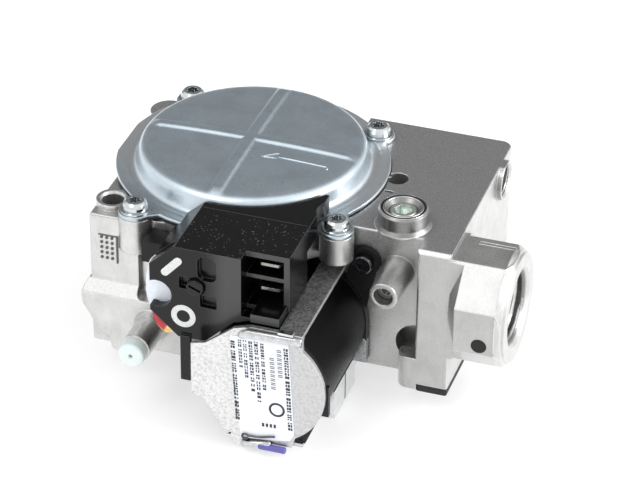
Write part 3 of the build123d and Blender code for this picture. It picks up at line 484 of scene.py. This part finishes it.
# ---- mesh helpers ------------------------------------------------------------------------------
def piece(name, points, faces, look, body="valve", *, smooth):
    """A mesh from points in millimetres, riding on a body. Edges sharper than smooth stay hard.

    Given (still, moving, start, end) instead of one body, the piece is only fixed where it stands and rides
    on no body."""
    mesh = bpy.data.meshes.new(name)
    mesh.from_pydata([(x * MM, y * MM, z * MM) for x, y, z in points], [], faces)
    mesh.update()
    mesh.materials.append(look)
    mesh.shade_smooth()
    mesh.set_sharp_from_angle(angle=radians(smooth))
    obj = bpy.data.objects.new(name, mesh)
    bpy.context.scene.collection.objects.link(obj)
    if isinstance(body, str):
        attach(obj, body)
    else:
        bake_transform(obj)
    return obj


def bevelled(obj, width):
    """Rounds a piece's sharp edges."""
    made = obj.modifiers.new("edges", "BEVEL")
    made.width = width * MM
    made.segments = 2
    made.limit_method = "ANGLE"
    made.harden_normals = False


class Shape:
    """Points and faces of one or more closed solids, in millimetres."""

    def __init__(self):
        self.points, self.faces = [], []

    def add(self, points, faces):
        start = len(self.points)
        self.points += [tuple(p) for p in points]
        self.faces += [tuple(i + start for i in face) for face in faces]
        return self

    def prism(self, outline, to_low, to_high):
        """Extrudes a counter-clockwise outline; to_low and to_high map (u, v) to a point."""
        n = len(outline)
        points = [to_low(u, v) for u, v in outline] + [to_high(u, v) for u, v in outline]
        faces = [tuple(range(n - 1, -1, -1)), tuple(range(n, 2 * n))]
        faces += [(i, (i + 1) % n, n + (i + 1) % n, n + i) for i in range(n)]
        return self.add(points, faces)

    def lathe(self, profile, place, steps):
        """Turns a closed profile of (radius, height); place maps (radius, angle, height)."""
        m = len(profile)
        points = [place(r, 2 * pi * i / steps, h) for i in range(steps) for r, h in profile]
        faces = []
        for i in range(steps):
            for k in range(m):
                a, b = i * m, (i + 1) % steps * m
                faces.append((a + k, b + k, b + (k + 1) % m, a + (k + 1) % m))
        return self.add(points, faces)

    def tube(self, path, radius, sides):
        """A round closed wire along a path; radius is a number or one for each point."""
        path = [Vector(p) for p in path]
        n = len(path)
        radii = radius if isinstance(radius, list) else [radius] * n
        points, faces, across = [], [], None
        for i, p in enumerate(path):
            along = (path[min(i + 1, n - 1)] - path[max(i - 1, 0)]).normalized()
            if across is None:
                spare = Vector((0, 0, 1)) if abs(along.z) < 0.8 else Vector((0, 1, 0))
                across = along.cross(spare).normalized()
            across = (across - along * across.dot(along)).normalized()
            other = along.cross(across)
            for k in range(sides):
                t = 2 * pi * k / sides
                points.append(p + (across * cos(t) + other * sin(t)) * radii[i])
        for i in range(n - 1):
            for k in range(sides):
                a, b = i * sides, (i + 1) * sides
                faces.append((a + k, a + (k + 1) % sides, b + (k + 1) % sides, b + k))
        faces.append(tuple(range(sides - 1, -1, -1)))
        faces.append(tuple(range((n - 1) * sides, n * sides)))
        return self.add(points, faces)

    def make(self, name, look, slot, body="valve", *, smooth):
        return piece(name, self.points, self.faces, look, body, smooth=smooth)


def ease(value, low, high):
    """Rises smoothly from 0 at low to 1 at high."""
    t = min(max((value - low) / (high - low), 0.0), 1.0)
    return t * t * (3 - 2 * t)


def along_y(y):
    """Maps (u, v) to x and the height over the deck, on a plane across Y."""
    return lambda u, v: (u, y, v + DECK)


def around_z(x, y):
    """Maps (radius, angle, height over the deck) to a point, about an upright axis."""
    return lambda r, t, h: (x + r * cos(t), y + r * sin(t), DECK + h)


def around_y(x, z):
    """Maps (radius, angle, y) to a point, about an axis along Y."""
    return lambda r, t, h: (x + r * cos(t), h, z + r * sin(t))


def disc_outline(cx, cy, rx, ry, steps):
    return [(cx + rx * cos(2 * pi * i / steps), cy + ry * sin(2 * pi * i / steps)) for i in range(steps)]


def bar_outline(x0, y0, x1, y1, half):
    """A bar with round ends from one point to another, half its width given."""
    turn = atan2(y1 - y0, x1 - x0)
    ends = [(x1, y1, turn - pi / 2), (x0, y0, turn + pi / 2)]
    return [(cx + half * cos(t0 + pi * k / 6), cy + half * sin(t0 + pi * k / 6))
            for cx, cy, t0 in ends for k in range(7)]


# ---- diaphragm cover ---------------------------------------------------------------------------
COVER_PROFILE = [(0, 7.90), (6, 7.88), (10, 7.84), (15, 7.74), (20, 7.58), (24, 7.40), (26.5, 7.24),
                 (28.0, 7.06), (28.8, 6.84), (29.4, 6.48), (29.85, 5.98), (30.15, 5.35),
                 (30.35, 4.55), (30.55, 3.65), (30.8, 2.75), (31.1, 2.1), (31.5, 1.62),
                 (32.0, 1.34), (32.6, 1.22)]
FLANGE_R = 36.4
FLANGE_LEFT = 35.7
FLANGE_TOP = 1.2
EAR_R = 4.5
EAR_ROOT = 29.0
EAR_ROOT_HALF = 9.0
EAR_TIP_HALF = 4.4
CREASE_R = 33.5


def cover_height(r):
    """Height of the pressed profile over the deck, without beads and creases."""
    for (r0, z0), (r1, z1) in zip(COVER_PROFILE, COVER_PROFILE[1:]):
        if r <= r1:
            return z0 + (z1 - z0) * (r - r0) / (r1 - r0)
    return FLANGE_TOP


def flange_reach(t):
    """Distance from the axis to the flange's outline in direction t."""
    reach = FLANGE_R
    if cos(t) < 0:
        reach = min(reach, FLANGE_LEFT / -cos(t))
    for x, y in SCREWS:
        far = hypot(x, y)
        off = abs((t - atan2(y, x) + pi) % (2 * pi) - pi)
        if off > 0.5:
            continue
        rest = EAR_R ** 2 - (far * sin(off)) ** 2
        if rest > 0:
            reach = max(reach, far * cos(off) + sqrt(rest))
        # the ear's sides close in from its root to the screw
        slope = (EAR_ROOT_HALF - EAR_TIP_HALF) / (far - EAR_ROOT)
        out = (EAR_ROOT_HALF + EAR_ROOT * slope) / (tan(off) + slope)
        if EAR_ROOT <= out <= far:
            reach = max(reach, out / cos(off))
    return reach


def bead(x, y):
    """Height of the two crossed stiffening beads."""
    fade = 1 - ease(hypot(x, y), 26.6, 28.6)
    crosswise = 1 - ease(abs(y), 0.7, 2.2)
    lengthwise = 1 - ease(abs(x + 0.7), 0.9, 2.4)
    return 0.62 * fade * max(crosswise, lengthwise)


def crease(t, r):
    """Short raised creases on the flange, just outside the dome."""
    degrees = t * 180 / pi
    for low, high in ((-158, -134), (-122, -100), (-44, -16), (20, 60)):
        if low < degrees < high:
            ends = ease(degrees, low, low + 4) * (1 - ease(degrees, high - 4, high))
            return 0.16 * ends * (1 - ease(abs(r - CREASE_R), 0.05, 0.45))
    return 0.0


def cover_mesh():
    """The pressed cover as rings of points, from the middle of its top round the rim to its underside."""
    turns = 540
    plateau = [0.5 * i for i in range(1, 53)]
    wall = [r for r, _ in COVER_PROFILE if r > 26.2]
    flange = [CREASE_R + shift for shift in (-0.5, -0.25, 0.0, 0.25, 0.5)]
    shares = [0.3, 0.6, 0.85, 1.0]
    points = [(0, 0, DECK + COVER_PROFILE[0][1] + bead(0, 0))]
    ring_of = []
    for i in range(turns):
        t = -pi + 2 * pi * i / turns
        rim = flange_reach(t)
        radii = plateau + wall + flange
        radii += [flange[-1] + (rim - 0.3 - flange[-1]) * share for share in shares]
        ring = []
        for r in radii:
            x, y = r * cos(t), r * sin(t)
            z = cover_height(r) + (bead(x, y) if r < 29 else 0) + crease(t, r)
            ring.append((x, y, DECK + z))
        for shift, z in ((0.1, FLANGE_TOP - 0.08), (0.0, FLANGE_TOP - 0.3), (0.0, 0.2), (0.15, 0.02)):
            ring.append(((rim - shift) * cos(t), (rim - shift) * sin(t), DECK + z))
        for r, z in ((32.0, 0.02), (30.4, 0.5), (29.6, 3.5), (29.2, 5.0), (28.2, 6.05), (26.0, 6.25),
                     (20.0, 6.55), (10.0, 6.8)):
            ring.append((r * cos(t), r * sin(t), DECK + z))
        ring_of.append(len(points))
        points += ring
    under = len(points)
    points.append((0, 0, DECK + 6.9))
    length = len(ring)
    faces = []
    for i in range(turns):
        a, b = ring_of[i], ring_of[(i + 1) % turns]
        faces.append((0, a, b))
        for k in range(length - 1):
            faces.append((a + k, a + k + 1, b + k + 1, b + k))
        faces.append((a + length - 1, under, b + length - 1))
    obj = piece("diaphragm_cover_pressed", points, faces, DOME, smooth=50)
    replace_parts(obj, "diaphragm_cover")


def cover_arrow():
    """Embossed outline of a flow arrow, pointing away from the inlet."""
    shape = Shape()
    lines = [[(5.0, -8.2), (9.1, -5.4)], [(9.2, -7.2), (22.9, -7.3), (23.1, -8.5)],
             [(5.0, -8.2), (9.2, -7.9)]]
    for line in lines:
        path = []
        for (x0, y0), (x1, y1) in zip(line, line[1:]):
            path += [(x0 + (x1 - x0) * k / 8, y0 + (y1 - y0) * k / 8) for k in range(9)]
        path = [p for i, p in enumerate(path) if i == 0 or p != path[i - 1]]
        ends = len(path)
        radii = [0.30 * min(1.0, 0.35 + 0.5 * min(k, ends - 1 - k)) for k in range(ends)]
        shape.tube([(x, y, DECK + cover_height(hypot(x, y)) - 0.06) for x, y in path], radii, 8)
    shape.make("cover_arrow", DOME, "zinc_plate", smooth=60)


cover_mesh()
cover_arrow()


# ---- pipe threads ------------------------------------------------------------------------------
def thread(name, centre, start, end, crest, depth, pitch):
    """Helical ridge inside a bore along X, between two X stations. Crest is the bore's radius."""
    steps = 40
    turns = abs(end - start) / pitch
    count = int(turns * steps)
    way = 1 if end > start else -1
    sunk = crest + 0.25
    points, faces = [], []
    for i in range(count + 1):
        t = 2 * pi * i / steps
        x = start + way * pitch * i / steps
        fade = min(1.0, i / 20, (count - i) / 20)
        for share, r in ((-0.42, sunk), (0.0, crest - depth * fade), (0.42, sunk)):
            points.append((x + share * pitch, centre[0] + r * cos(t), centre[1] + r * sin(t)))
    for i in range(count):
        a, b = 3 * i, 3 * i + 3
        for k in range(3):
            faces.append((a + k, b + k, b + (k + 1) % 3, a + (k + 1) % 3))
    faces += [(0, 1, 2), (3 * count + 2, 3 * count + 1, 3 * count)]
    piece(name, points, faces, MACHINED, smooth=40)


HALF_INCH_PITCH = 1.814
EIGHTH_INCH_PITCH = 0.941
thread("inlet_thread", INLET, 66.2, 77.0, 9.3, 0.75, HALF_INCH_PITCH)
thread("outlet_thread", OUTLET, -20.2, -32.2, 9.3, 0.75, HALF_INCH_PITCH)
thread("side_port_thread", SIDE, 54.2, 62.8, 4.3, 0.45, EIGHTH_INCH_PITCH)


# ---- body details ------------------------------------------------------------------------------
def regulator_rings():
    """Turned rings on the regulator boss, round the adjusting screw."""
    low = REGULATOR_TOP
    inner = [(4.72, low), (4.76, 5.14), (4.92, 5.22), (5.12, 5.20), (5.3, 5.08), (5.34, low)]
    outer = [(5.86, low), (5.9, 5.12), (6.05, 5.15), (6.15, 5.08), (6.18, low)]
    shape = Shape()
    for profile in (inner, outer):
        shape.lathe(profile, around_z(*REGULATOR), 72)
    shape.make("regulator_rings", MACHINED, "cast_alloy", smooth=50)


def regulator_groove_shade():
    """Painted shade: a dark ring for the groove between the two bright ones."""
    low = REGULATOR_TOP
    profile = [(5.42, low), (5.42, 5.07), (5.62, 5.09), (5.80, 5.07), (5.80, low)]
    shape = Shape().lathe(profile, around_z(*REGULATOR), 72)
    shape.make("regulator_groove_shade", BLACK_PAINT_AND_SHADE, "rubber_black", smooth=40)


def boss_mark():
    """A plain embossed frame on the inlet's top flat."""
    x0, x1, y0, y1 = 66.8, 77.0, -15.4, -16.6
    shape = Shape()
    for path in ([(x0, y0), (x1, y0)], [(x0, y0), (x0, y1)], [(x1, y0), (x1, y1)], [(x0, y1), (x1, y1)]):
        shape.tube([(x, y, DECK - 1.28) for x, y in path], 0.22, 8)
    shape.make("inlet_mark", MACHINED, "cast_alloy", smooth=60)


def dot_grid():
    """A generic grid of raised dots with a line beside and over it, cast on the left-hand block."""
    y = -35.6
    low = along_y(y + 0.02)
    right, top = -25.0, -7.0
    shape = Shape()
    for column in range(3):
        for row in range(5):
            cx, cz = -29.3 + 1.45 * column, -7.7 - 1.55 * row
            shape.prism(disc_outline(cx, cz, 0.42, 0.42, 12), low, along_y(y - 0.22))
    shape.prism(bar_outline(right, -14.9, right, top, 0.22), low, along_y(y - 0.3))
    shape.prism(bar_outline(-30.1, top, right, top, 0.15), low, along_y(y - 0.2))
    bevelled(shape.make("cast_date_grid", DARK_GREY_AND_SHADOW, "cast_alloy", smooth=40), 0.08)


def paint_spot():
    """A dab of black paint on the inlet's front flat."""
    shape = Shape().prism(disc_outline(72.5, -19.8, 2.05, 2.0, 48), along_y(-34.88), along_y(-34.98))
    bevelled(shape.make("paint_spot", BLACK_PAINT_AND_SHADE, "rubber_black", smooth=40), 0.03)


# ---- switch ------------------------------------------------------------------------------------
def switch_marks():
    """Plain symbols instead of words: a bar for on and a ring for off."""
    low, high = FACE_FRONT + 0.01, FACE_FRONT - 0.09
    lean = radians(42)
    dx, dz = 2.7 * sin(lean), 2.7 * cos(lean)
    cx, cz = -2.9, 0.0
    shape = Shape().prism(bar_outline(cx - dx, cz - dz, cx + dx, cz + dz, 1.05), along_y(low), along_y(high))
    shape.lathe([(1.8, low), (1.8, high), (3.3, high), (3.3, low)], around_y(0.1, DECK - 14.3), 48)
    shape.make("switch_marks", WHITE_INK, "disc_plastic", smooth=30)


def switch_ridge():
    """Thin moulded line across the top of the switch cover."""
    y, z = -33.9, COVER_TOP - 0.02
    shape = Shape().tube([(-1.6, y, z), (12.0, y, z), (26.6, y, z)], 0.11, 8)
    shape.make("switch_ridge", SWITCH, "cover_plastic", smooth=60)


def indicator():
    """The painted disc that turns with the knob: a round window zone and a long coloured lobe."""
    kx, kz = KNOB[0], KNOB[1] - DECK
    # degrees and radius: the moulded edge grows from the thin rim beside the window to the wide painted lobe
    rim = [(160, 13.2), (167, 13.9), (182, 14.4), (198, 15.5), (210, 16.7), (221, 17.6), (228, 19.2),
           (234, 20.2), (239, 20.5), (242.5, 20.4), (244.5, 20.0), (246.2, 19.0), (247.4, 17.6)]
    fine = []
    for (a0, r0), (a1, r1) in zip(rim, rim[1:]):
        fine += [(a0 + (a1 - a0) * k / 4, r0 + (r1 - r0) * k / 4) for k in range(4)]
    last_angle, last_radius = rim[-1]
    fine += [rim[-1], (last_angle + 1, last_radius)]
    outline = [(kx, kz)] + [(kx + r * cos(radians(a)), kz + r * sin(radians(a))) for a, r in fine]
    shape = Shape().prism(outline, along_y(-50.8), along_y(-50.0))
    hub = [(1.35, -50.95), (1.35, -49.9), (3.4, -49.9), (3.4, -50.95)]
    shape.lathe(hub, around_y(*KNOB), 48)
    obj = shape.make("indicator_painted", INDICATOR, "disc_plastic", body="switch", smooth=30)
    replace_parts(obj, "indicator_disc")


# ---- rubber and springs between two bodies -----------------------------------------------------
DIAPHRAGM_RADII = [2.55, 12.0, 18.0, 21.2, 22.0, 22.8, 23.8, 25.0, 26.2, 27.2, 28.0, 28.8, 31.5]


def diaphragm_height(radius):
    """The rolled fold between the clamp plate and the rim hangs into the chamber."""
    return -1.5 * sin(pi * min(max((radius - 21.4) / 7.2, 0.0), 1.0)) ** 2


def diaphragm_rim(turn):
    """Edge of the sheet, notched round the two screws that stand inside it."""
    for x, y in SCREWS[2:]:
        if abs(turn - atan2(y, x)) < radians(6.5):
            return 33.0
    return 36.1


def sheet_faces(columns, rows):
    """Faces of a closed sheet whose points come in pairs, top then bottom, row by row in each column."""
    def at(i, j, low):
        return 2 * (i * rows + j) + low

    last_i, last_j = columns - 1, rows - 1
    faces = []
    for i in range(last_i):
        for j in range(last_j):
            faces.append((at(i, j, 0), at(i, j + 1, 0), at(i + 1, j + 1, 0), at(i + 1, j, 0)))
            faces.append((at(i + 1, j, 1), at(i + 1, j + 1, 1), at(i, j + 1, 1), at(i, j, 1)))
        faces.append((at(i, 0, 1), at(i, 0, 0), at(i + 1, 0, 0), at(i + 1, 0, 1)))
        faces.append((at(i, last_j, 0), at(i, last_j, 1), at(i + 1, last_j, 1), at(i + 1, last_j, 0)))
    for j in range(last_j):
        faces.append((at(0, j, 1), at(0, j + 1, 1), at(0, j + 1, 0), at(0, j, 0)))
        faces.append((at(last_i, j, 0), at(last_i, j + 1, 0), at(last_i, j + 1, 1), at(last_i, j, 1)))
    return faces


def diaphragm():
    """Twelve sectors of the sheet with its rolled fold, each spanning a twelfth of the circle."""
    count, cuts = 12, 5
    faces = sheet_faces(cuts + 1, len(DIAPHRAGM_RADII) + 1)
    for sector in range(count):
        first = 2 * pi * sector / count - pi
        points = []
        for i in range(cuts + 1):
            turn = first + 2 * pi / count * i / cuts
            for radius in DIAPHRAGM_RADII + [diaphragm_rim(turn)]:
                height = DECK + diaphragm_height(radius)
                x, y = radius * cos(turn), radius * sin(turn)
                points += [(x, y, height - 0.02), (x, y, height - 0.78)]
        middle = first + pi / count
        ends = [(r * cos(middle), r * sin(middle), DECK) for r in (28.4, 21.8)]
        obj = piece(f"diaphragm_sector_{sector + 1}", points, faces, RUBBER,
                    ("valve", "main_valve", *ends), smooth=40)
        if sector == 0:
            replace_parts(obj, "main_diaphragm")


def coil_spring(name, node, centre, radius, wire, low, high, turns, still, moving):
    """A round-wire spring between two bodies; its end coils lie flatter.

    The still and moving ends are each a body's name and the height of that end."""
    x, y = centre
    rise = high - low - wire
    steps = int(turns * 32)
    path = []
    for k in range(steps + 1):
        share = k / steps
        turn = 2 * pi * turns * share
        height = low + wire / 2 + rise * (share - 0.06 * sin(2 * pi * share))
        path.append((x + radius * cos(turn), y + radius * sin(turn), height))
    bodies = (still[0], moving[0], (x, y, still[1]), (x, y, moving[1]))
    obj = Shape().tube(path, wire / 2, 12).make(name, SPRING, "spring_steel", bodies, smooth=60)
    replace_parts(obj, node)


MAIN_SPRING = (DECK + 0.8, DECK + 6.7)
REGULATOR_SPRING = (DECK - 7.4, DECK - 2.45)

diaphragm()
coil_spring("main_spring_coil", "main_valve_spring", (0.0, 0.0), 8.0, 0.9, *MAIN_SPRING, 2.5,
            ("valve", MAIN_SPRING[1]), ("main_valve", MAIN_SPRING[0]))
coil_spring("regulator_spring_coil", "regulator_spring", REGULATOR, 2.6, 0.6, *REGULATOR_SPRING, 3,
            ("valve", REGULATOR_SPRING[0]), ("regulator_seat", REGULATOR_SPRING[1]))


# ---- solenoid ----------------------------------------------------------------------------------
LABEL_OUTLINE = [(16.9, -45.0), (24.4, -44.4), (30.2, -43.3), (31.35, -41.2), (29.75, -13.5), (14.1, -14.1)]
# the rows of print run down the label, leaning a little to the right: x, top, foot and half width
PRINT_ROWS = [(14.9, -15.6, -39.6, 0.55), (16.75, -14.9, -23.6, 0.44), (18.1, -14.8, -25.4, 0.44),
              (19.6, -14.8, -30.0, 0.48), (21.1, -14.6, -32.8, 0.48), (22.7, -14.8, -28.8, 0.44),
              (29.0, -15.0, -40.6, 0.58)]
PRINT_LEAN = 0.055


def block(x0, z0, x1, z1):
    """Outline of a rectangle from its lower left to its upper right corner."""
    return [(x0, z0), (x1, z0), (x1, z1), (x0, z1)]


def label():
    """The blank label sheet on the end plate."""
    low, high = along_y(PLATE_FRONT), along_y(PLATE_FRONT - 0.12)
    obj = Shape().prism(LABEL_OUTLINE, low, high).make("label_sheet", LABEL, "label_white", smooth=30)
    bevelled(obj, 0.03)
    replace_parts(obj, "frame_label")


def label_print():
    """Unreadable rows of short dark bars, a plain ring and a row of blocks."""
    draw = random.Random(7)
    paper, face = PLATE_FRONT - 0.11, PLATE_FRONT - 0.145
    low, high = along_y(paper), along_y(face)
    shape = Shape()
    for x, top, foot, half in PRINT_ROWS:
        z = top
        while z > foot:
            size = draw.choice((0.42, 0.6, 0.78))
            middle = x + (top - z) * PRINT_LEAN
            # each letter is two short strokes across the row
            first_end = draw.uniform(-0.25, 0.25) * half - 0.08
            second_start = draw.uniform(-0.25, 0.25) * half + 0.08
            for edge0, edge1 in ((-half, first_end), (second_start, half)):
                shape.prism(block(middle + edge0, z - size, middle + edge1, z), low, high)
            z -= size + draw.choice((0.22, 0.26, 0.26, 0.7))
    ring = [(1.55, paper), (1.55, face - 0.005), (2.15, face - 0.005), (2.15, paper)]
    shape.lathe(ring, around_y(26.7, DECK - 34.3), 40)
    for k in range(4):
        x, z = 22.7 + 1.05 * k, -40.3 + 0.06 * k
        shape.prism(block(x, z, x + 0.62, z + 1.1), low, high)
    for x, top, count in ((24.7, -18.6, 8), (26.6, -15.8, 7)):
        for k in range(count):
            drop = 1.25 * k
            a = x + drop * PRINT_LEAN
            for z in (top - drop, top - drop - 0.5):
                shape.prism(block(a, z - 0.22, a + 1.25, z), low, high)
    shape.make("label_print", DARK_INK, "black_plastic", smooth=30)


def frame_fold():
    """The strap's rolled edge, folded down over the top of the end plate."""
    section = [(-57.9, -10.92), (-58.6, -10.96), (-59.2, -11.2), (-59.5, -11.7), (-59.55, -12.5),
               (-59.4, -13.1), (-59.0, -13.38), (-58.42, -13.36), (-58.42, -11.6)]
    stations = [(16.6, 0.0), (17.0, 0.6), (17.6, 0.9), (19.0, 1.0), (31.6, 1.0), (32.6, 0.92),
                (33.1, 0.7), (33.35, 0.25)]
    my, mz = -58.6, -12.1
    points, faces = [], []
    for x, share in stations:
        grow = 0.35 + 0.65 * share
        height = DECK - max(0.0, 19.6 - x) * 0.42
        points += [(x, my + (y - my) * grow, height + mz + (z - mz) * grow) for y, z in section]
    m = len(section)
    for i in range(len(stations) - 1):
        for k in range(m):
            a, b = i * m, (i + 1) * m
            faces.append((a + k, b + k, b + (k + 1) % m, a + (k + 1) % m))
    faces += [tuple(range(m - 1, -1, -1)), tuple(range((len(stations) - 1) * m, len(stations) * m))]
    obj = piece("frame_fold", points, faces, FOLD, smooth=55)
    bevelled(obj, 0.12)


def fold_tab():
    """A small tab of the strap's edge, turned up at its right-hand end."""
    outline = [(27.0, -10.95), (31.0, -10.95), (31.15, -10.6), (30.9, -10.25), (27.1, -10.25), (26.9, -10.6)]
    shape = Shape().prism(outline, along_y(-59.05), along_y(-57.3))
    bevelled(shape.make("fold_tab", BRIGHT, "zinc_plate", smooth=40), 0.12)


def fold_crease_shadows():
    """Painted shadow: dark strips in the creases below and above the rolled edge."""
    low, high = along_y(-58.3), along_y(PLATE_FRONT - 0.16)
    shape = Shape()
    for x0, x1, z0, z1 in ((17.6, 33.2, -13.66, -13.40), (18.4, 26.8, -10.95, -10.70)):
        shape.prism([(x0, z0), (x1, z0), (x1 - 0.1, z1), (x0 + 0.1, z1)], low, high)
    shape.make("fold_crease_shadows", DARK_GREY_AND_SHADOW, "zinc_plate", smooth=30)


def bracket_lug():
    """A dull metal lug over the foot of the rear flange."""
    outline = [(34.1, -40.0), (39.35, -40.0), (39.35, -33.2), (38.6, -32.4), (34.1, -32.4)]
    shape = Shape().prism(outline, along_y(-21.35), along_y(-23.55))
    bevelled(shape.make("bracket_lug", DULL_ZINC, "zinc_plate", smooth=30), 0.2)


def bracket_gap_shadow():
    """Painted shadow: a thin black strip for a narrow gap in the channel's side."""
    shape = Shape().prism(block(35.5, -48.2, 35.66, -40.3), along_y(-29.2), along_y(-29.6))
    shape.make("bracket_gap_shadow", BLACK_PAINT_AND_SHADE, "rubber_black", smooth=30)


def wire_clip():
    """A bent wire with an eye, over a short rolled band at the foot of the label."""
    y = PLATE_FRONT - 0.55
    turns = [radians(-30 - 15 * k) for k in range(21)]
    wire = [(18.3 + 0.85 * cos(t), y, DECK - 44.25 + 0.75 * sin(t)) for t in turns]
    run = [(19.9, -43.75), (21.2, -43.75), (22.8, -43.5), (24.6, -42.95), (26.3, -42.6)]
    wire += [(x, y, DECK + z) for x, z in run]
    Shape().tube(wire, 0.26, 10).make("clip_wire", BLACK_STEEL, "black_screw", smooth=60)
    # x, height over the deck, radius
    stations = [(17.3, -46.5, 0.55), (17.6, -46.45, 0.85), (20.5, -45.95, 0.88), (24.9, -45.05, 0.82),
                (25.3, -44.95, 0.5)]
    band = Shape().tube([(x, y, DECK + z) for x, z, _ in stations], [r for _, _, r in stations], 16)
    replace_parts(band.make("clip_band", FOLD, "zinc_plate", smooth=60), "coil_clip")


def slot_lips():
    """Raised lips above and below the slot near the lower left of the end plate."""
    low, high = along_y(PLATE_FRONT + 0.02), along_y(PLATE_FRONT - 0.12)
    shape = Shape()
    for z in (-44.05, -45.05):
        shape.prism(bar_outline(12.6, z, 14.0, z, 0.14), low, high)
    shape.make("slot_lips", SKIRT, "zinc_plate", smooth=40)


regulator_rings()
regulator_groove_shade()
boss_mark()
dot_grid()
paint_spot()
switch_marks()
switch_ridge()
indicator()
label()
label_print()
frame_fold()
fold_tab()
fold_crease_shadows()
bracket_lug()
bracket_gap_shadow()
wire_clip()
slot_lips()


# ---- camera, floor and light -------------------------------------------------------------------
CAMERA_DISTANCE = 830.688
CAMERA_RIGHT = 15.582
CAMERA_DOWN = 23.0159
SENSOR_WIDTH = 36.0
FOCAL_LENGTH = 180.864


def camera():
    """Looks from the front, a little from the right and above; the deck's middle is left of and over
    the middle of the view."""
    az, el, roll = radians(18.2), radians(32.87), radians(0.495)
    back = Vector((sin(az) * cos(el), -cos(az) * cos(el), sin(el)))
    right = Vector((cos(az), sin(az), 0))
    up = right.cross(-back)
    right, up = right * cos(roll) + up * sin(roll), up * cos(roll) - right * sin(roll)
    place = Vector((0, 0, DECK)) + back * CAMERA_DISTANCE + right * CAMERA_RIGHT - up * CAMERA_DOWN
    lens = bpy.data.cameras.new("camera")
    lens.sensor_width = SENSOR_WIDTH
    lens.lens = FOCAL_LENGTH
    lens.clip_start = 0.05
    lens.clip_end = 20.0
    obj = bpy.data.objects.new("camera", lens)
    pose = Matrix((right, up, back)).transposed().to_4x4()
    pose.translation = place * MM
    obj.matrix_world = pose
    bpy.context.scene.collection.objects.link(obj)
    bpy.context.scene.camera = obj


def floor():
    """A wide white floor, just under the valve."""
    half = 6000.0 * MM
    corners = [(-half, -half, 0), (half, -half, 0), (half, half, 0), (-half, half, 0)]
    mesh = bpy.data.meshes.new("floor")
    mesh.from_pydata(corners, [], [(0, 1, 2, 3)])
    obj = bpy.data.objects.new("floor", mesh)
    obj.location.z = -0.4 * MM
    bpy.context.scene.collection.objects.link(obj)
    s = Shade("floor", Roughness=0.9, Emission_Color=(1.0, 1.0, 1.0, 1.0), Emission_Strength=0.50)
    s.colour((0.62, 0.62, 0.62, 1.0))
    mesh.materials.append(s.mat)


def area(name, place, size, power):
    """A rectangular lamp at a place in metres, turned to the valve."""
    look = Vector((0.02, -0.01, 0.03))
    light = bpy.data.lights.new(name, "AREA")
    light.shape = "RECTANGLE"
    light.size, light.size_y = size
    light.energy = power
    obj = bpy.data.objects.new(name, light)
    obj.location = place
    obj.rotation_euler = (Vector(place) - look).to_track_quat("Z", "Y").to_euler()
    bpy.context.scene.collection.objects.link(obj)


def studio():
    """A white tent with one grey panel low at the back, which the up-facing metal mirrors."""
    world = bpy.data.worlds.new("studio")
    world.use_nodes = True
    tree = world.node_tree
    sky = tree.nodes["Background"]
    sky.inputs["Color"].default_value = (1.0, 1.0, 1.0, 1.0)
    coord = tree.nodes.new("ShaderNodeTexCoord")
    dot = tree.nodes.new("ShaderNodeVectorMath")
    dot.operation = "DOT_PRODUCT"
    tree.links.new(coord.outputs["Generated"], dot.inputs[0])
    dot.inputs[1].default_value = Vector((-0.30, 0.80, 0.50)).normalized()
    fade = tree.nodes.new("ShaderNodeMapRange")
    fade.interpolation_type = "SMOOTHSTEP"
    fade.inputs["From Min"].default_value = 0.55
    fade.inputs["From Max"].default_value = 0.86
    fade.inputs["To Min"].default_value = 1.04
    fade.inputs["To Max"].default_value = 0.25
    tree.links.new(dot.outputs["Value"], fade.inputs["Value"])
    tree.links.new(fade.outputs["Result"], sky.inputs["Strength"])
    bpy.context.scene.world = world
    bpy.context.scene.view_settings.view_transform = "Standard"
    area("key", (-0.35, -0.50, 0.85), (0.4, 0.4), 1.5)
    area("side", (0.95, 0.05, 0.45), (0.6, 0.5), 6)


camera()
floor()
studio()
